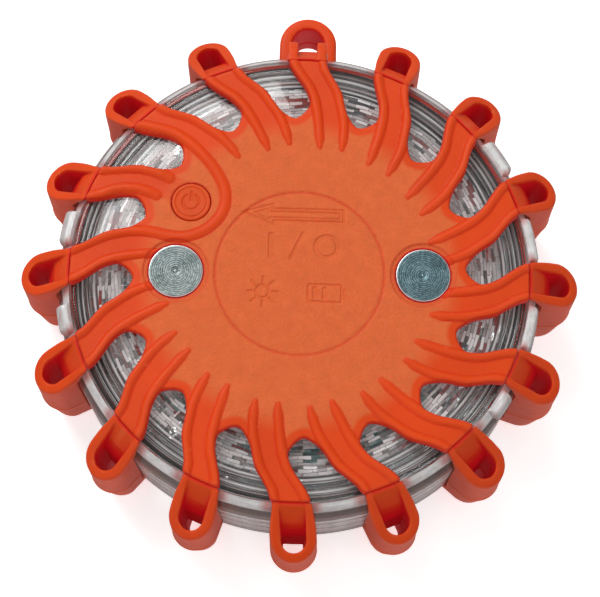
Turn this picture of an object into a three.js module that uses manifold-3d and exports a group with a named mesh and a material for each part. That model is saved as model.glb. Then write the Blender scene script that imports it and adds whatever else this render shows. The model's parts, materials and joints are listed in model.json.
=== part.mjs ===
// LED safety flare: a round, puck-shaped warning light in two clear halves, each in an
// orange rubber cover. Sixteen LEDs shine out through the clear wall, two magnets sit in
// the rear face, and a hanging eye stands out of the rim.
// Millimetres, +Z up. The origin is on the disc axis, in the plane of the front rest pad:
// the front face lies on z = 0 and the rear face, with magnets and button, looks up.
// The hanging eye points to +Y.
import * as THREE from "three";
import { mergeVertices } from "three/addons/utils/BufferGeometryUtils.js";
import Module from "manifold-3d";

const wasm = await Module();
wasm.setup();

// ---------------------------------------------------------------- driving dimensions
const LOOPS = 16; // arms, bumper loops and LEDs round the disc
const PITCH = 360 / LOOPS;
const SEG = 48; // facets of the large rings
const THICKNESS = 32; // over the ridges of both covers
const R_ARM = 43.55; // where the cover arms end
const R_TIP = 54; // bumper loop tip
const LOOP_HALF = 4.4; // half width of a bumper loop at its parting plane
const LOOP_HOLE = 2.2; // half width of the hole through a loop
const EYE_Y = 52.3; // centre of the hanging eye
const EYE_R = 5.6; // outer radius of the eye
const EYE_HOLE = 3.6; // radius of its hole
const COVER_TOP = 31.5; // plateau of the rear cover
const COVER_BOTTOM = 29.9;
const R_HOUSING = 46.35; // clear wall, outside
const R_BORE = 43.15; // clear wall, inside: the O-ring seals here
const Z_FLOOR = [2.1, 3.6]; // clear front wall
const Z_LEDGE = 27.7; // the lid plate rests over this
const Z_PLATE = [28.0, 29.7]; // lid plate
const R_PLATE = 43.5;
const MAGNET_AT = 23.5; // magnet centres from the axis
const MAGNET_TURN = 1; // degrees, from +X
const MAGNET_R = 5.15;
const MAGNET_Z = [28.2, 31.2];
const BUTTON_AT = [-21.28, 13.42];
const BUTTON_R = 3.7;
const BUTTON_TOP = 31.5;
const PIN_BOTTOM = 16.35;
const PLUNGER_TOP = 16.0;
const R_PCB = 32.5;
const Z_PCB = [9.4, 11.0];
const LED_Z = 14;
const LED_BACK = 31.0;
const CELL_R = 5.25;
const CELL_LENGTH = 44.5;
const CELL_PITCH = 11;
const CELL_Z = 21.25;
const SCREW_R = 27.2; // board screws, a half pitch from the LEDs

// ---------------------------------------------------------------- helpers
const rad = THREE.MathUtils.degToRad;
const at = (r, deg) => [r * Math.cos(rad(deg)), r * Math.sin(rad(deg))];
const SCREWS = [0, 90, 180, 270].map((a) => at(SCREW_R, a + PITCH / 2));

// A closed geometry as a solid, with its faces turned outwards.
function solid(geometry) {
  let g = geometry.index ? geometry.toNonIndexed() : geometry.clone();
  for (const key of Object.keys(g.attributes))
    if (key !== "position") g.deleteAttribute(key);
  g = mergeVertices(g, 1e-4);
  const p = g.attributes.position.array;
  const index = g.index.array;
  const tri = [];
  let volume = 0;
  for (let i = 0; i < index.length; i += 3) {
    const [a, b, c] = [index[i], index[i + 1], index[i + 2]];
    if (a === b || b === c || a === c) continue;
    tri.push(a, b, c);
    const [A, B, C] = [a, b, c].map(
      (k) => new THREE.Vector3(p[3 * k], p[3 * k + 1], p[3 * k + 2]),
    );
    volume += A.dot(B.cross(C));
  }
  if (volume < 0)
    for (let i = 0; i < tri.length; i += 3)
      [tri[i + 1], tri[i + 2]] = [tri[i + 2], tri[i + 1]];
  return new wasm.Manifold(
    new wasm.Mesh({
      numProp: 3,
      vertProperties: new Float32Array(p),
      triVerts: new Uint32Array(tri),
    }),
  );
}

const join = (list) => list.reduce((a, b) => a.add(b));
const shapeOf = (points) =>
  new THREE.Shape(points.map(([x, y]) => new THREE.Vector2(x, y)));

// A prism of a plan outline from z0 to z1.
function prism(points, z0, z1, move = null) {
  const g = new THREE.ExtrudeGeometry(shapeOf(points), {
    depth: z1 - z0,
    bevelEnabled: false,
  });
  g.translate(0, 0, z0);
  if (move) g.applyMatrix4(move);
  return solid(g);
}

// A solid of revolution about Z. A profile away from the axis repeats its first point.
function lathe(profile, segments = SEG, x = 0, y = 0) {
  const g = new THREE.LatheGeometry(
    profile.map(([r, z]) => new THREE.Vector2(r, z)),
    segments,
  );
  g.rotateX(Math.PI / 2);
  g.translate(x, y, 0);
  return solid(g);
}
const ring = (profile, segments = SEG) =>
  lathe([...profile, profile[0]], segments);

function rod(r, z0, z1, x = 0, y = 0, segments = 20) {
  const g = new THREE.CylinderGeometry(r, r, z1 - z0, segments);
  g.rotateX(Math.PI / 2);
  g.translate(x, y, (z0 + z1) / 2);
  return solid(g);
}

function box(x0, x1, y0, y1, z0, z1) {
  const g = new THREE.BoxGeometry(x1 - x0, y1 - y0, z1 - z0);
  g.translate((x0 + x1) / 2, (y0 + y1) / 2, (z0 + z1) / 2);
  return solid(g);
}

const turnZ = (deg) => new THREE.Matrix4().makeRotationZ(rad(deg));

// The outline of a sector of a ring.
function sector(r0, r1, a0, a1, steps) {
  const out = [];
  for (let i = 0; i <= steps; i++)
    out.push(at(r1, a0 + ((a1 - a0) * i) / steps));
  for (let i = steps; i >= 0; i--)
    out.push(at(r0, a0 + ((a1 - a0) * i) / steps));
  return out;
}

const part = new THREE.Group();
const finish = {
  rubber: new THREE.MeshStandardMaterial({
    color: 0xe0491f,
    roughness: 0.62,
    metalness: 0,
  }),
  clear: new THREE.MeshStandardMaterial({
    color: 0xdfe8ea,
    roughness: 0.08,
    metalness: 0,
    transparent: true,
    opacity: 0.35,
  }),
  button: new THREE.MeshStandardMaterial({
    color: 0xdc4a22,
    roughness: 0.5,
    metalness: 0,
  }),
  seal: new THREE.MeshStandardMaterial({
    color: 0x15171a,
    roughness: 0.45,
    metalness: 0,
  }),
  magnet: new THREE.MeshStandardMaterial({
    color: 0xa4a89f,
    roughness: 0.35,
    metalness: 0.9,
  }),
  silver: new THREE.MeshStandardMaterial({
    color: 0xd9dcdc,
    roughness: 0.18,
    metalness: 1,
  }),
  steel: new THREE.MeshStandardMaterial({
    color: 0xb9bcbd,
    roughness: 0.3,
    metalness: 1,
  }),
  board: new THREE.MeshStandardMaterial({
    color: 0x1c6f6b,
    roughness: 0.5,
    metalness: 0,
  }),
  black: new THREE.MeshStandardMaterial({
    color: 0x1b1c1e,
    roughness: 0.5,
    metalness: 0,
  }),
  cell: new THREE.MeshStandardMaterial({
    color: 0x2c3f58,
    roughness: 0.35,
    metalness: 0.2,
  }),
};

function add(name, made, material) {
  const m = made.getMesh();
  const n = m.numProp;
  const v = new Float32Array(m.numVert * 3);
  for (let i = 0; i < m.numVert; i++)
    v.set(m.vertProperties.subarray(i * n, i * n + 3), i * 3);
  const g = new THREE.BufferGeometry()
    .setAttribute("position", new THREE.BufferAttribute(v, 3))
    .setIndex(new THREE.BufferAttribute(m.triVerts, 1));
  g.computeVertexNormals();
  const mesh = new THREE.Mesh(g, material);
  mesh.name = name;
  part.add(mesh);
}

// ---------------------------------------------------------------- cover outline
// One window, from the arm before it to the arm after it: [radius, degrees past the arm].
const WINDOW = [
  [R_ARM, 4.85],
  [42, 4.25],
  [40, 2.5],
  [38, 0.5],
  [36, -0.9],
  [34.4, -1.3],
  [32.8, 0.6],
  [31.75, 3.4],
  [32.3, 6.0],
  [34, 8.8],
  [36.5, 10.8],
  [38.5, 12.6],
  [42, 16.5],
  [R_ARM, 17.3],
];
// A disc with sixteen swept arms. `mirror` turns the sweep the other way.
function armDisc(mirror) {
  const out = [];
  for (let k = 0; k < LOOPS; k++)
    for (const [r, a] of WINDOW) out.push(at(r, k * PITCH + a));
  if (!mirror) return out;
  return out.map(([x, y]) => [x, -y]).reverse();
}

// Ridge centre lines along the two edges of an arm.
const RIDGE_A = [
  [43.2, -4.1],
  [37, -10],
  [32, -13.6],
  [27, -15.9],
];
const RIDGE_B = [
  [43.2, 3.6],
  [39, 0.2],
  [33.5, -3.7],
  [27, -6.4],
];
const ridgeAbs = (line, k) => line.map(([r, a]) => [r, a + k * PITCH]);
// The ridge that hooks round the button, and the arms beside it.
const HOOK = [
  [43.2, 138.0],
  [37.7, 133.0],
  [30.8, 130.2],
  [24.4, 130.8],
  [21.0, 134.2],
  [19.0, 145.3],
  [19.7, 156.1],
  [23.5, 164.4],
  [29.1, 166.0],
  [34.4, 168.2],
  [39.4, 172.3],
  [43.2, 176.1],
];
const ARM_14B = [
  [43.1, 161.4],
  [39.3, 156.6],
  [35.4, 153.5],
  [31.3, 152.4],
];
const ARM_14A = [
  [43.1, 153.4],
  [38, 148.4],
  [34, 145.6],
  [31.3, 144.6],
];
// A ridge as a thin strip that narrows to its inner end.
function strip(line, width, z0, z1, taper) {
  const p = line.map(([r, a]) => new THREE.Vector2(...at(r, a)));
  const left = [],
    right = [];
  p.forEach((q, i) => {
    const t = new THREE.Vector2()
      .subVectors(p[Math.min(i + 1, p.length - 1)], p[Math.max(i - 1, 0)])
      .normalize();
    const w = (width / 2) * (taper && i === p.length - 1 ? 0.35 : 1);
    left.push([q.x - t.y * w, q.y + t.x * w]);
    right.push([q.x + t.y * w, q.y - t.x * w]);
  });
  return prism([...left, ...right.reverse()], z0, z1);
}

const magnetAt = [MAGNET_TURN, 180 + MAGNET_TURN].map((a) => at(MAGNET_AT, a));

// ---------------------------------------------------------------- rear cover
{
  let cover = prism(armDisc(false), COVER_BOTTOM, COVER_TOP);
  const ridges = [];
  for (let k = 0; k < LOOPS; k++) {
    // arms 6, 7 and 8 stand round the button and have ridges of their own
    if (k !== 7 && k !== 8)
      ridges.push(strip(ridgeAbs(RIDGE_A, k), 1.8, COVER_TOP - 0.4, THICKNESS, true));
    if (k !== 6 && k !== 7)
      ridges.push(strip(ridgeAbs(RIDGE_B, k), 1.8, COVER_TOP - 0.4, THICKNESS, true));
  }
  ridges.push(strip(HOOK, 1.8, COVER_TOP - 0.4, THICKNESS, false));
  ridges.push(strip(ARM_14A, 1.8, COVER_TOP - 0.4, THICKNESS, false));
  ridges.push(strip(ARM_14B, 1.8, COVER_TOP - 0.4, THICKNESS, false));
  cover = cover.add(join(ridges));
  for (const [x, y] of magnetAt)
    cover = cover.subtract(rod(MAGNET_R + 0.35, 29, 33, x, y, 24));
  cover = cover.subtract(rod(BUTTON_R + 0.3, 29, 33, ...BUTTON_AT, 20));
  add("rear_cover", cover, finish.rubber);
}

// ---------------------------------------------------------------- front cover with bumper loops
// The hollow that the clear housing sits in.
const hollow = () =>
  lathe([
    [0, 1.8],
    [43.9, 1.8],
    [46.65, 6.3],
    [46.65, 26.5],
    [45.7, 28.75],
    [44.7, 30.6],
    [43.95, 30.6],
    [43.95, 33],
    [0, 33],
  ]);
// The outside of the wall that joins the loops to the disc.
const webBody = () =>
  lathe([
    [0, -1],
    [43.6, 0.5],
    [45.8, 2.3],
    [47.6, 5],
    [48.4, 12.3],
    [48.2, 25.4],
    [45.1, 31.2],
    [0, 31.2],
  ]);
{
  const cut = hollow();
  const web = webBody();
  // side view of a loop: [radius, z]
  const side = [
    [43.0, 0.5],
    [43.6, 0.5],
    [45.8, 2.3],
    [52.4, 2.3],
    [R_TIP, 12.3],
    [R_TIP, 24],
    [45.0, 31.2],
    [43.0, 31.2],
  ];
  const sideSolid = () => {
    const g = new THREE.ExtrudeGeometry(shapeOf(side), {
      depth: 12,
      bevelEnabled: false,
    });
    // the outline's x is the radius and its y is the height
    g.rotateX(Math.PI / 2);
    g.translate(0, 6, 0);
    return solid(g);
  };
  // plan view of a loop and of its hole, along +X; each loop leans a little round the disc
  const leaning = (pts) => pts.map(([u, v]) => [u, v + 0.2 + 0.085 * Math.max(0, Math.min(u - 44, 6))]);
  const plan = leaning([
    [43.0, -LOOP_HALF + 0.7],
    [50.4, -LOOP_HALF],
    [52.4, -LOOP_HALF + 0.7],
    [53.6, -2.2],
    [R_TIP, -0.8],
    [R_TIP, 0.8],
    [53.6, 2.2],
    [52.4, LOOP_HALF - 0.7],
    [50.4, LOOP_HALF],
    [43.0, LOOP_HALF - 0.7],
  ]);
  const holePlan = leaning([
    [44.4, -LOOP_HOLE],
    [50.2, -LOOP_HOLE],
    [51.6, -1.6],
    [52.2, -0.6],
    [52.2, 0.6],
    [51.6, 1.6],
    [50.2, LOOP_HOLE],
    [44.4, LOOP_HOLE],
  ]);
  const loop = prism(plan, 0, 32)
    .intersect(sideSolid())
    .subtract(prism(holePlan, -1, 33).subtract(web))
    .subtract(cut);
  const pieces = [];
  const m4 = (deg) => turnZ(deg).toArray();
  for (let k = 0; k < LOOPS; k++) if (k !== 4) pieces.push(loop.transform(m4(k * PITCH)));
  // the hanging eye, on +Y
  const eyePlan = [[-EYE_R, 44]];
  const holeEye = [[-EYE_HOLE, 48.3]];
  for (let i = 0; i <= 10; i++) {
    const a = 180 - 18 * i;
    const [x, y] = at(EYE_R, a);
    eyePlan.push([x, EYE_Y + y]);
    const [u, v] = at(EYE_HOLE, a);
    holeEye.push([u, EYE_Y + 0.3 + v]);
  }
  eyePlan.push([EYE_R, 44]);
  holeEye.push([EYE_HOLE, 48.3]);
  const eye = prism(eyePlan, 9, 19.3).subtract(prism(holeEye, 8, 20));
  const post = (x0, x1, z0, z1) => box(x0, x1, 44, 48, z0, z1);
  const webPiece = web.intersect(box(-4.1, 4.1, 43, 49, 0.5, 31.2));
  const eyeSolid = join([
    eye,
    webPiece,
    post(-3.55, -1.95, 19, 31.2),
    post(1.95, 3.55, 19, 31.2),
    post(-3.55, -1.95, 2.3, 10),
    post(1.95, 3.55, 2.3, 10),
  ]).subtract(cut);
  pieces.push(eyeSolid);
  let cover = prism(armDisc(true), 0.5, 1.8).add(rod(16, 0, 1, 0, 0, 32));
  cover = cover.add(join(pieces));
  add("front_cover", cover, finish.rubber);
}

// ---------------------------------------------------------------- front housing
{
  let housing = lathe([
    [0, Z_FLOOR[0]],
    [43.65, Z_FLOOR[0]],
    [R_HOUSING, 6.6],
    [R_HOUSING, 26.4],
    [45.4, 28.6],
    [44.4, 30.3],
    [0, 30.3],
  ]);
  // rounded pockets for the lid's bayonet lugs, on the outside of the rim
  const lugs = [
    [165.5, 174.4, 46.6],
    [189.4, 196.8, 46.6],
    [29, 38.5, 46.6],
    [-35, -28.4, 46.6],
    [5.6, 16.9, 46.0],
    [-16.9, -5.6, 46.0],
  ].map(([a0, a1, r]) =>
    prism(
      [
        at(43.2, a0),
        at(r - 0.9, a0),
        at(r, a0 + 1.4),
        at(r, (a0 + a1) / 2),
        at(r, a1 - 1.4),
        at(r - 0.9, a1),
        at(43.2, a1),
      ],
      28,
      30.1,
    ),
  );
  housing = housing.add(join(lugs));
  housing = housing.subtract(
    lathe([
      [0, Z_FLOOR[1]],
      [R_BORE, Z_FLOOR[1]],
      [R_BORE, Z_LEDGE],
      [43.85, Z_LEDGE],
      [43.85, 33],
      [0, 33],
    ]),
  );
  const posts = join(
    SCREWS.map(([x, y]) =>
      rod(3.1, Z_FLOOR[1] - 0.5, 9.1, x, y, 12).subtract(
        rod(1.55, 4.3, 9.5, x, y, 10),
      ),
    ),
  );
  add("front_housing", housing.add(posts), finish.clear);
}

// ---------------------------------------------------------------- rear housing, the lid
{
  let lid = lathe([
    [0, Z_PLATE[0]],
    [39.6, Z_PLATE[0]],
    [39.6, 22],
    [42.5, 22],
    [42.8, 22.4],
    [42.8, 24.9],
    [41.0, 24.9],
    [41.0, 27.3],
    [42.8, 27.3],
    [42.8, Z_PLATE[0]],
    [R_PLATE, Z_PLATE[0]],
    [R_PLATE, Z_PLATE[1]],
    [0, Z_PLATE[1]],
  ]);
  for (const [x, y] of magnetAt)
    lid = lid
      .add(rod(6.4, 26.9, 28.4, x, y, 24))
      .subtract(rod(5.5, MAGNET_Z[0] - 0.3, 33, x, y, 24));
  lid = lid
    .add(rod(5.9, 25, 28.4, ...BUTTON_AT, 20))
    .subtract(rod(5.1, 27, 33, ...BUTTON_AT, 20))
    .subtract(rod(1.85, 24, 33, ...BUTTON_AT, 12));
  add("rear_housing", lid, finish.clear);
}

// ---------------------------------------------------------------- seals, magnets
add(
  "o_ring",
  ring([
    [41.3, 26.1],
    [42.1, 25.2],
    [42.9, 26.1],
    [42.1, 27.0],
  ]),
  finish.seal,
);
add(
  "button_seal",
  rod(4.8, 27.3, 27.7, ...BUTTON_AT, 20).subtract(
    rod(1.85, 27, 28, ...BUTTON_AT, 12),
  ),
  finish.seal,
);
["magnet_right", "magnet_left"].forEach((name, i) => {
  const [x, y] = magnetAt[i];
  add(
    name,
    lathe(
      [
        [0, MAGNET_Z[0]],
        [MAGNET_R - 0.2, MAGNET_Z[0]],
        [MAGNET_R, MAGNET_Z[0] + 0.2],
        [MAGNET_R, MAGNET_Z[1] - 0.2],
        [MAGNET_R - 0.2, MAGNET_Z[1]],
        [0, MAGNET_Z[1]],
      ],
      24,
      x,
      y,
    ),
    finish.magnet,
  );
});

// ---------------------------------------------------------------- button and switch
add(
  "power_button",
  lathe(
    [
      [0, PIN_BOTTOM],
      [1.5, PIN_BOTTOM],
      [1.5, 28.6],
      [4.8, 28.6],
      [4.8, 29.6],
      [BUTTON_R, 29.6],
      [BUTTON_R, BUTTON_TOP - 0.3],
      [BUTTON_R - 0.3, BUTTON_TOP],
      [0, BUTTON_TOP],
    ],
    20,
    ...BUTTON_AT,
  ),
  finish.button,
);
{
  const [x, y] = BUTTON_AT;
  add(
    "switch_body",
    box(x - 3, x + 3, y - 3, y + 3, 11.3, 14.6).subtract(
      rod(2.0, 13.4, 15, x, y, 12),
    ),
    finish.black,
  );
  add("switch_plunger", rod(1.7, 14.1, PLUNGER_TOP, x, y, 12), finish.seal);
}

// ---------------------------------------------------------------- board, LEDs, optics
{
  let board = rod(R_PCB, Z_PCB[0], Z_PCB[1], 0, 0, 32);
  for (const [x, y] of SCREWS) board = board.subtract(rod(1.6, 9, 12, x, y, 10));
  add("main_pcb", board, finish.board);
}
{
  const led = new THREE.LatheGeometry(
    [
      [0, 0],
      [2.7, 0],
      [2.7, 1],
      [2.5, 1],
      [2.5, 6.4],
      [1.6, 8.2],
      [0, 8.7],
    ].map(([r, z]) => new THREE.Vector2(r, z)),
    8,
  );
  led.rotateZ(-Math.PI / 2); // the axis now runs along +X
  led.translate(LED_BACK, 0, LED_Z);
  const legs = new THREE.ExtrudeGeometry(
    shapeOf([
      [LED_BACK + 0.3, 13.75],
      [LED_BACK + 0.3, 14.25],
      [29.2, 14.25],
      [29.2, 11.3],
      [29.7, 11.3],
      [29.7, 13.75],
    ]),
    { depth: 3, bevelEnabled: false },
  );
  legs.rotateX(Math.PI / 2);
  legs.translate(0, 1.5, 0);
  const one = solid(led).add(solid(legs));
  for (let k = 0; k < LOOPS; k++)
    add(
      "led_" + String(k + 1).padStart(2, "0"),
      one.transform(turnZ(k * PITCH).toArray()),
      finish.clear,
    );
}
add(
  "lens_ring",
  ring([
    [40.6, 5],
    [42.8, 5],
    [42.8, 21],
    [41.4, 21],
    [40.6, 17.5],
  ], 32),
  finish.clear,
);
add(
  "reflector_ring",
  ring([
    [33.1, 9.6],
    [38.9, 5.4],
    [38.9, 3.9],
    [39.8, 3.9],
    [39.8, 6.0],
    [33.1, 10.7],
  ], 32),
  finish.silver,
);
add(
  "controller_chip",
  box(19.3, 24.8, -19.5, -14, 11.3, 12.7),
  finish.black,
);

// ---------------------------------------------------------------- battery holder, cells, contacts
const END = CELL_LENGTH / 2; // 22.25
{
  const HX = 17.6,
    HY = 24.5;
  let holder = box(-HX, HX, -HY, HY, 14.4, 15.7)
    .add(box(-HX, -16.6, -HY, HY, 15, 24))
    .add(box(16.6, HX, -HY, HY, 15, 24))
    .add(box(-HX, HX, -HY, -23.3, 15, 24))
    .add(box(-HX, HX, 23.3, HY, 15, 24));
  for (const x of [-15, 15])
    for (const y of [-19, 19])
      holder = holder.add(box(x - 1.6, x + 1.6, y - 1.6, y + 1.6, 11.3, 15));
  // slots for the tails of the two end contacts
  for (const [x, s] of [
    [-CELL_PITCH, -1],
    [CELL_PITCH, 1],
  ])
    holder = holder.subtract(
      s > 0
        ? box(x - 1.3, x + 1.3, 22.2, 23.3, 14, 16)
        : box(x - 1.3, x + 1.3, -23.3, -22.2, 14, 16),
    );
  add("battery_holder", holder, finish.black);
}
// A cell along Y: the nub is at +Y when `up` is 1.
[
  [-CELL_PITCH, 1],
  [0, -1],
  [CELL_PITCH, 1],
].forEach(([x, up], i) => {
  const g = new THREE.LatheGeometry(
    [
      [0, -END],
      [4.8, -END],
      [CELL_R, -END + 0.5],
      [CELL_R, END - 1.6],
      [4.8, END - 1.1],
      [1.9, END - 1.1],
      [1.9, END],
      [0, END],
    ].map(([r, y]) => new THREE.Vector2(r, y)),
    16,
  );
  if (up < 0) g.rotateZ(Math.PI);
  g.translate(x, 0, CELL_Z);
  add("battery_cell_" + (i + 1), solid(g), finish.cell);
});
// Contact plates stand on edge between the cell ends and the holder's end walls.
function contact(name, outline, y0, y1) {
  const g = new THREE.ExtrudeGeometry(shapeOf(outline), {
    depth: y1 - y0,
    bevelEnabled: false,
  });
  g.rotateX(Math.PI / 2);
  g.translate(0, y1, 0);
  add(name, solid(g), finish.steel);
}
const single = (x) => [
  [x - 3.6, 16.4],
  [x - 0.8, 16.4],
  [x - 0.8, 11.3],
  [x + 0.8, 11.3],
  [x + 0.8, 16.4],
  [x + 3.6, 16.4],
  [x + 3.6, 24.4],
  [x + 2.6, 25.2],
  [x - 2.6, 25.2],
  [x - 3.6, 24.4],
];
const link = (x) => [
  [x - 9, 16.4],
  [x + 9, 16.4],
  [x + 9, 24.4],
  [x + 8, 25.2],
  [x - 8, 25.2],
  [x - 9, 24.4],
];
contact("contact_negative", single(-CELL_PITCH), -END - 0.7, -END - 0.35);
contact("contact_positive", single(CELL_PITCH), END + 0.35, END + 0.7);
contact("contact_link_a", link(-CELL_PITCH / 2), END + 0.35, END + 0.7);
contact("contact_link_b", link(CELL_PITCH / 2), -END - 0.7, -END - 0.35);

// ---------------------------------------------------------------- screws
SCREWS.forEach(([x, y], i) =>
  add(
    "pcb_screw_" + (i + 1),
    lathe(
      [
        [0, 4.7],
        [1.2, 5.2],
        [1.2, 11.3],
        [2.4, 11.3],
        [2.4, 12.4],
        [1.7, 13.0],
        [0, 13.0],
      ],
      12,
      x,
      y,
    ),
    finish.steel,
  ),
);

export default part;
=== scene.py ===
import bmesh
import bpy
import json
import math
import numpy as np
from mathutils import Matrix, Vector

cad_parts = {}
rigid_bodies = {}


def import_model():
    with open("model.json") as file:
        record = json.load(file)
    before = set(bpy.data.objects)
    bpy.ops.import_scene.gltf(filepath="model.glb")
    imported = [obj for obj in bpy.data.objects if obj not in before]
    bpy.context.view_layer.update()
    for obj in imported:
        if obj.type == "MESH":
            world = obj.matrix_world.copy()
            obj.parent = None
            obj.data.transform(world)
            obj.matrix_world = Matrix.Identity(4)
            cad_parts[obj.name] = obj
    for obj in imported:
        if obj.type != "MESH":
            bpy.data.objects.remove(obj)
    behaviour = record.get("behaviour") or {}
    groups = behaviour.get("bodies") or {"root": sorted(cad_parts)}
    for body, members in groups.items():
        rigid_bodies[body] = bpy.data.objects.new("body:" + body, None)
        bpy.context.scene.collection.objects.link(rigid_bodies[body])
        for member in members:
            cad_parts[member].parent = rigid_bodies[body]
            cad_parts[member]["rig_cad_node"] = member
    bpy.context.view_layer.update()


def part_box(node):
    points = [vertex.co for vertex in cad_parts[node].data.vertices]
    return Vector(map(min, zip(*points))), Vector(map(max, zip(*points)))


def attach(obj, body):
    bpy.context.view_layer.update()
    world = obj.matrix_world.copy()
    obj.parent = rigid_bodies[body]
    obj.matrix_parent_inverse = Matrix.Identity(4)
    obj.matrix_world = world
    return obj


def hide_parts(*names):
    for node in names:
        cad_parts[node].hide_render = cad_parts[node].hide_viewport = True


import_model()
MM = 0.001
PITCH = 22.5
R_ARM = 43.55

# ------------------------------------------------------------------ mesh helpers


def make(name, V, faces, mats, body, nodes=(), sharp=35.0, mat_index=None):
    """A mesh object from vertices in millimetres. faces is a list of (n, k) index arrays."""
    me = bpy.data.meshes.new(name)
    V = np.ascontiguousarray(V, dtype=np.float32) * MM
    me.vertices.add(len(V))
    me.vertices.foreach_set("co", V.ravel())
    faces = [np.ascontiguousarray(f, dtype=np.int32) for f in faces if len(f)]
    loops = np.concatenate([f.ravel() for f in faces])
    starts, at = [], 0
    for f in faces:
        starts.append(at + np.arange(len(f)) * f.shape[1])
        at += f.size
    starts = np.concatenate(starts).astype(np.int32)
    me.loops.add(len(loops))
    me.loops.foreach_set("vertex_index", loops)
    me.polygons.add(len(starts))
    me.polygons.foreach_set("loop_start", starts)
    if mat_index is not None:
        me.polygons.foreach_set("material_index", np.asarray(mat_index, dtype=np.int32))
    me.update(calc_edges=True)
    me.validate()
    if sharp is None:
        me.polygons.foreach_set("use_smooth", np.ones(len(me.polygons), dtype=bool))
    else:
        me.polygons.foreach_set("use_smooth", np.ones(len(me.polygons), dtype=bool))
        me.set_sharp_from_angle(angle=math.radians(sharp))
    for m in mats if isinstance(mats, (list, tuple)) else [mats]:
        me.materials.append(m)
    ob = bpy.data.objects.new(name, me)
    bpy.context.scene.collection.objects.link(ob)
    if nodes:
        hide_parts(*nodes)
    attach(ob, body)
    return ob


def merge(parts):
    """Joins (V, faces, material index) parts into one V, faces, material index list."""
    V, tri, quad, mt, mq, at = [], [], [], [], [], 0
    for v, fs, m in parts:
        V.append(np.asarray(v, dtype=float))
        for f in fs:
            f = np.asarray(f)
            if not len(f):
                continue
            if f.shape[1] == 3:
                tri.append(f + at)
                mt.append(np.full(len(f), m))
            else:
                quad.append(f + at)
                mq.append(np.full(len(f), m))
        at += len(v)
    faces, idx = [], []
    if tri:
        faces.append(np.concatenate(tri))
        idx.append(np.concatenate(mt))
    if quad:
        faces.append(np.concatenate(quad))
        idx.append(np.concatenate(mq))
    return np.concatenate(V), faces, np.concatenate(idx)


def revolve(profile, n=160, shape=None, centre=(0.0, 0.0), closed=False):
    """A surface of revolution about Z: profile of (r, z), ends on the axis or closed. shape(angle, i, r, z) may change r and z per angle (degrees)."""
    prof = np.array(profile, dtype=float)
    a = np.arange(n) * 2 * np.pi / n
    R = np.repeat(prof[:, 0][:, None], n, 1)
    Z = np.repeat(prof[:, 1][:, None], n, 1)
    if shape is not None:
        R, Z = shape(np.degrees(a)[None, :], R, Z)
    X, Y = R * np.cos(a), R * np.sin(a)
    V, ids, at = [], [], 0
    for i in range(len(prof)):
        if abs(prof[i, 0]) < 1e-9:
            V.append(np.array([[0, 0, prof[i, 1]]]))
            ids.append(np.full(n, at))
            at += 1
        else:
            V.append(np.stack([X[i], Y[i], Z[i]], 1))
            ids.append(at + np.arange(n))
            at += n
    V = np.concatenate(V)
    V[:, 0] += centre[0]
    V[:, 1] += centre[1]
    tri, quad = [], []
    m = len(prof)
    for i in range(m if closed else m - 1):
        p, q = ids[i], ids[(i + 1) % m]
        p1, q1 = np.roll(p, -1), np.roll(q, -1)
        if p[0] == p[1] and q[0] == q[1]:
            continue
        if p[0] == p[1]:
            tri.append(np.stack([p, q1, q], 1))
        elif q[0] == q[1]:
            tri.append(np.stack([p, p1, q], 1))
        else:
            quad.append(np.stack([p, p1, q1, q], 1))
    faces = []
    if tri:
        faces.append(np.concatenate(tri))
    if quad:
        faces.append(np.concatenate(quad))
    return V, faces


def rounded(profile, radius, closed=False, steps=4):
    """Rounds each corner of an (r, z) profile. radius is one number, or one for each point (0 keeps it sharp)."""
    P = [np.array(p, dtype=float) for p in profile]
    n = len(P)
    rad = [radius] * n if np.isscalar(radius) else list(radius)
    out = []
    for i in range(n):
        if rad[i] <= 0 or (not closed and i in (0, n - 1)):
            out.append(P[i])
            continue
        a, b, c = P[i - 1], P[i], P[(i + 1) % n]
        u, v = a - b, c - b
        lu, lv = np.linalg.norm(u), np.linalg.norm(v)
        u, v = u / lu, v / lv
        half = math.acos(max(-1, min(1, float(u @ v)))) / 2
        if half > math.pi / 2 - 0.02 or half < 0.02:
            out.append(b)
            continue
        t = min(rad[i] / math.tan(half), 0.48 * lu, 0.48 * lv)
        p0, p1 = b + u * t, b + v * t
        for s in np.linspace(0, 1, steps + 1):
            out.append((1 - s) ** 2 * p0 + 2 * s * (1 - s) * b + s * s * p1)
    return [tuple(p) for p in out]


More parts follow.
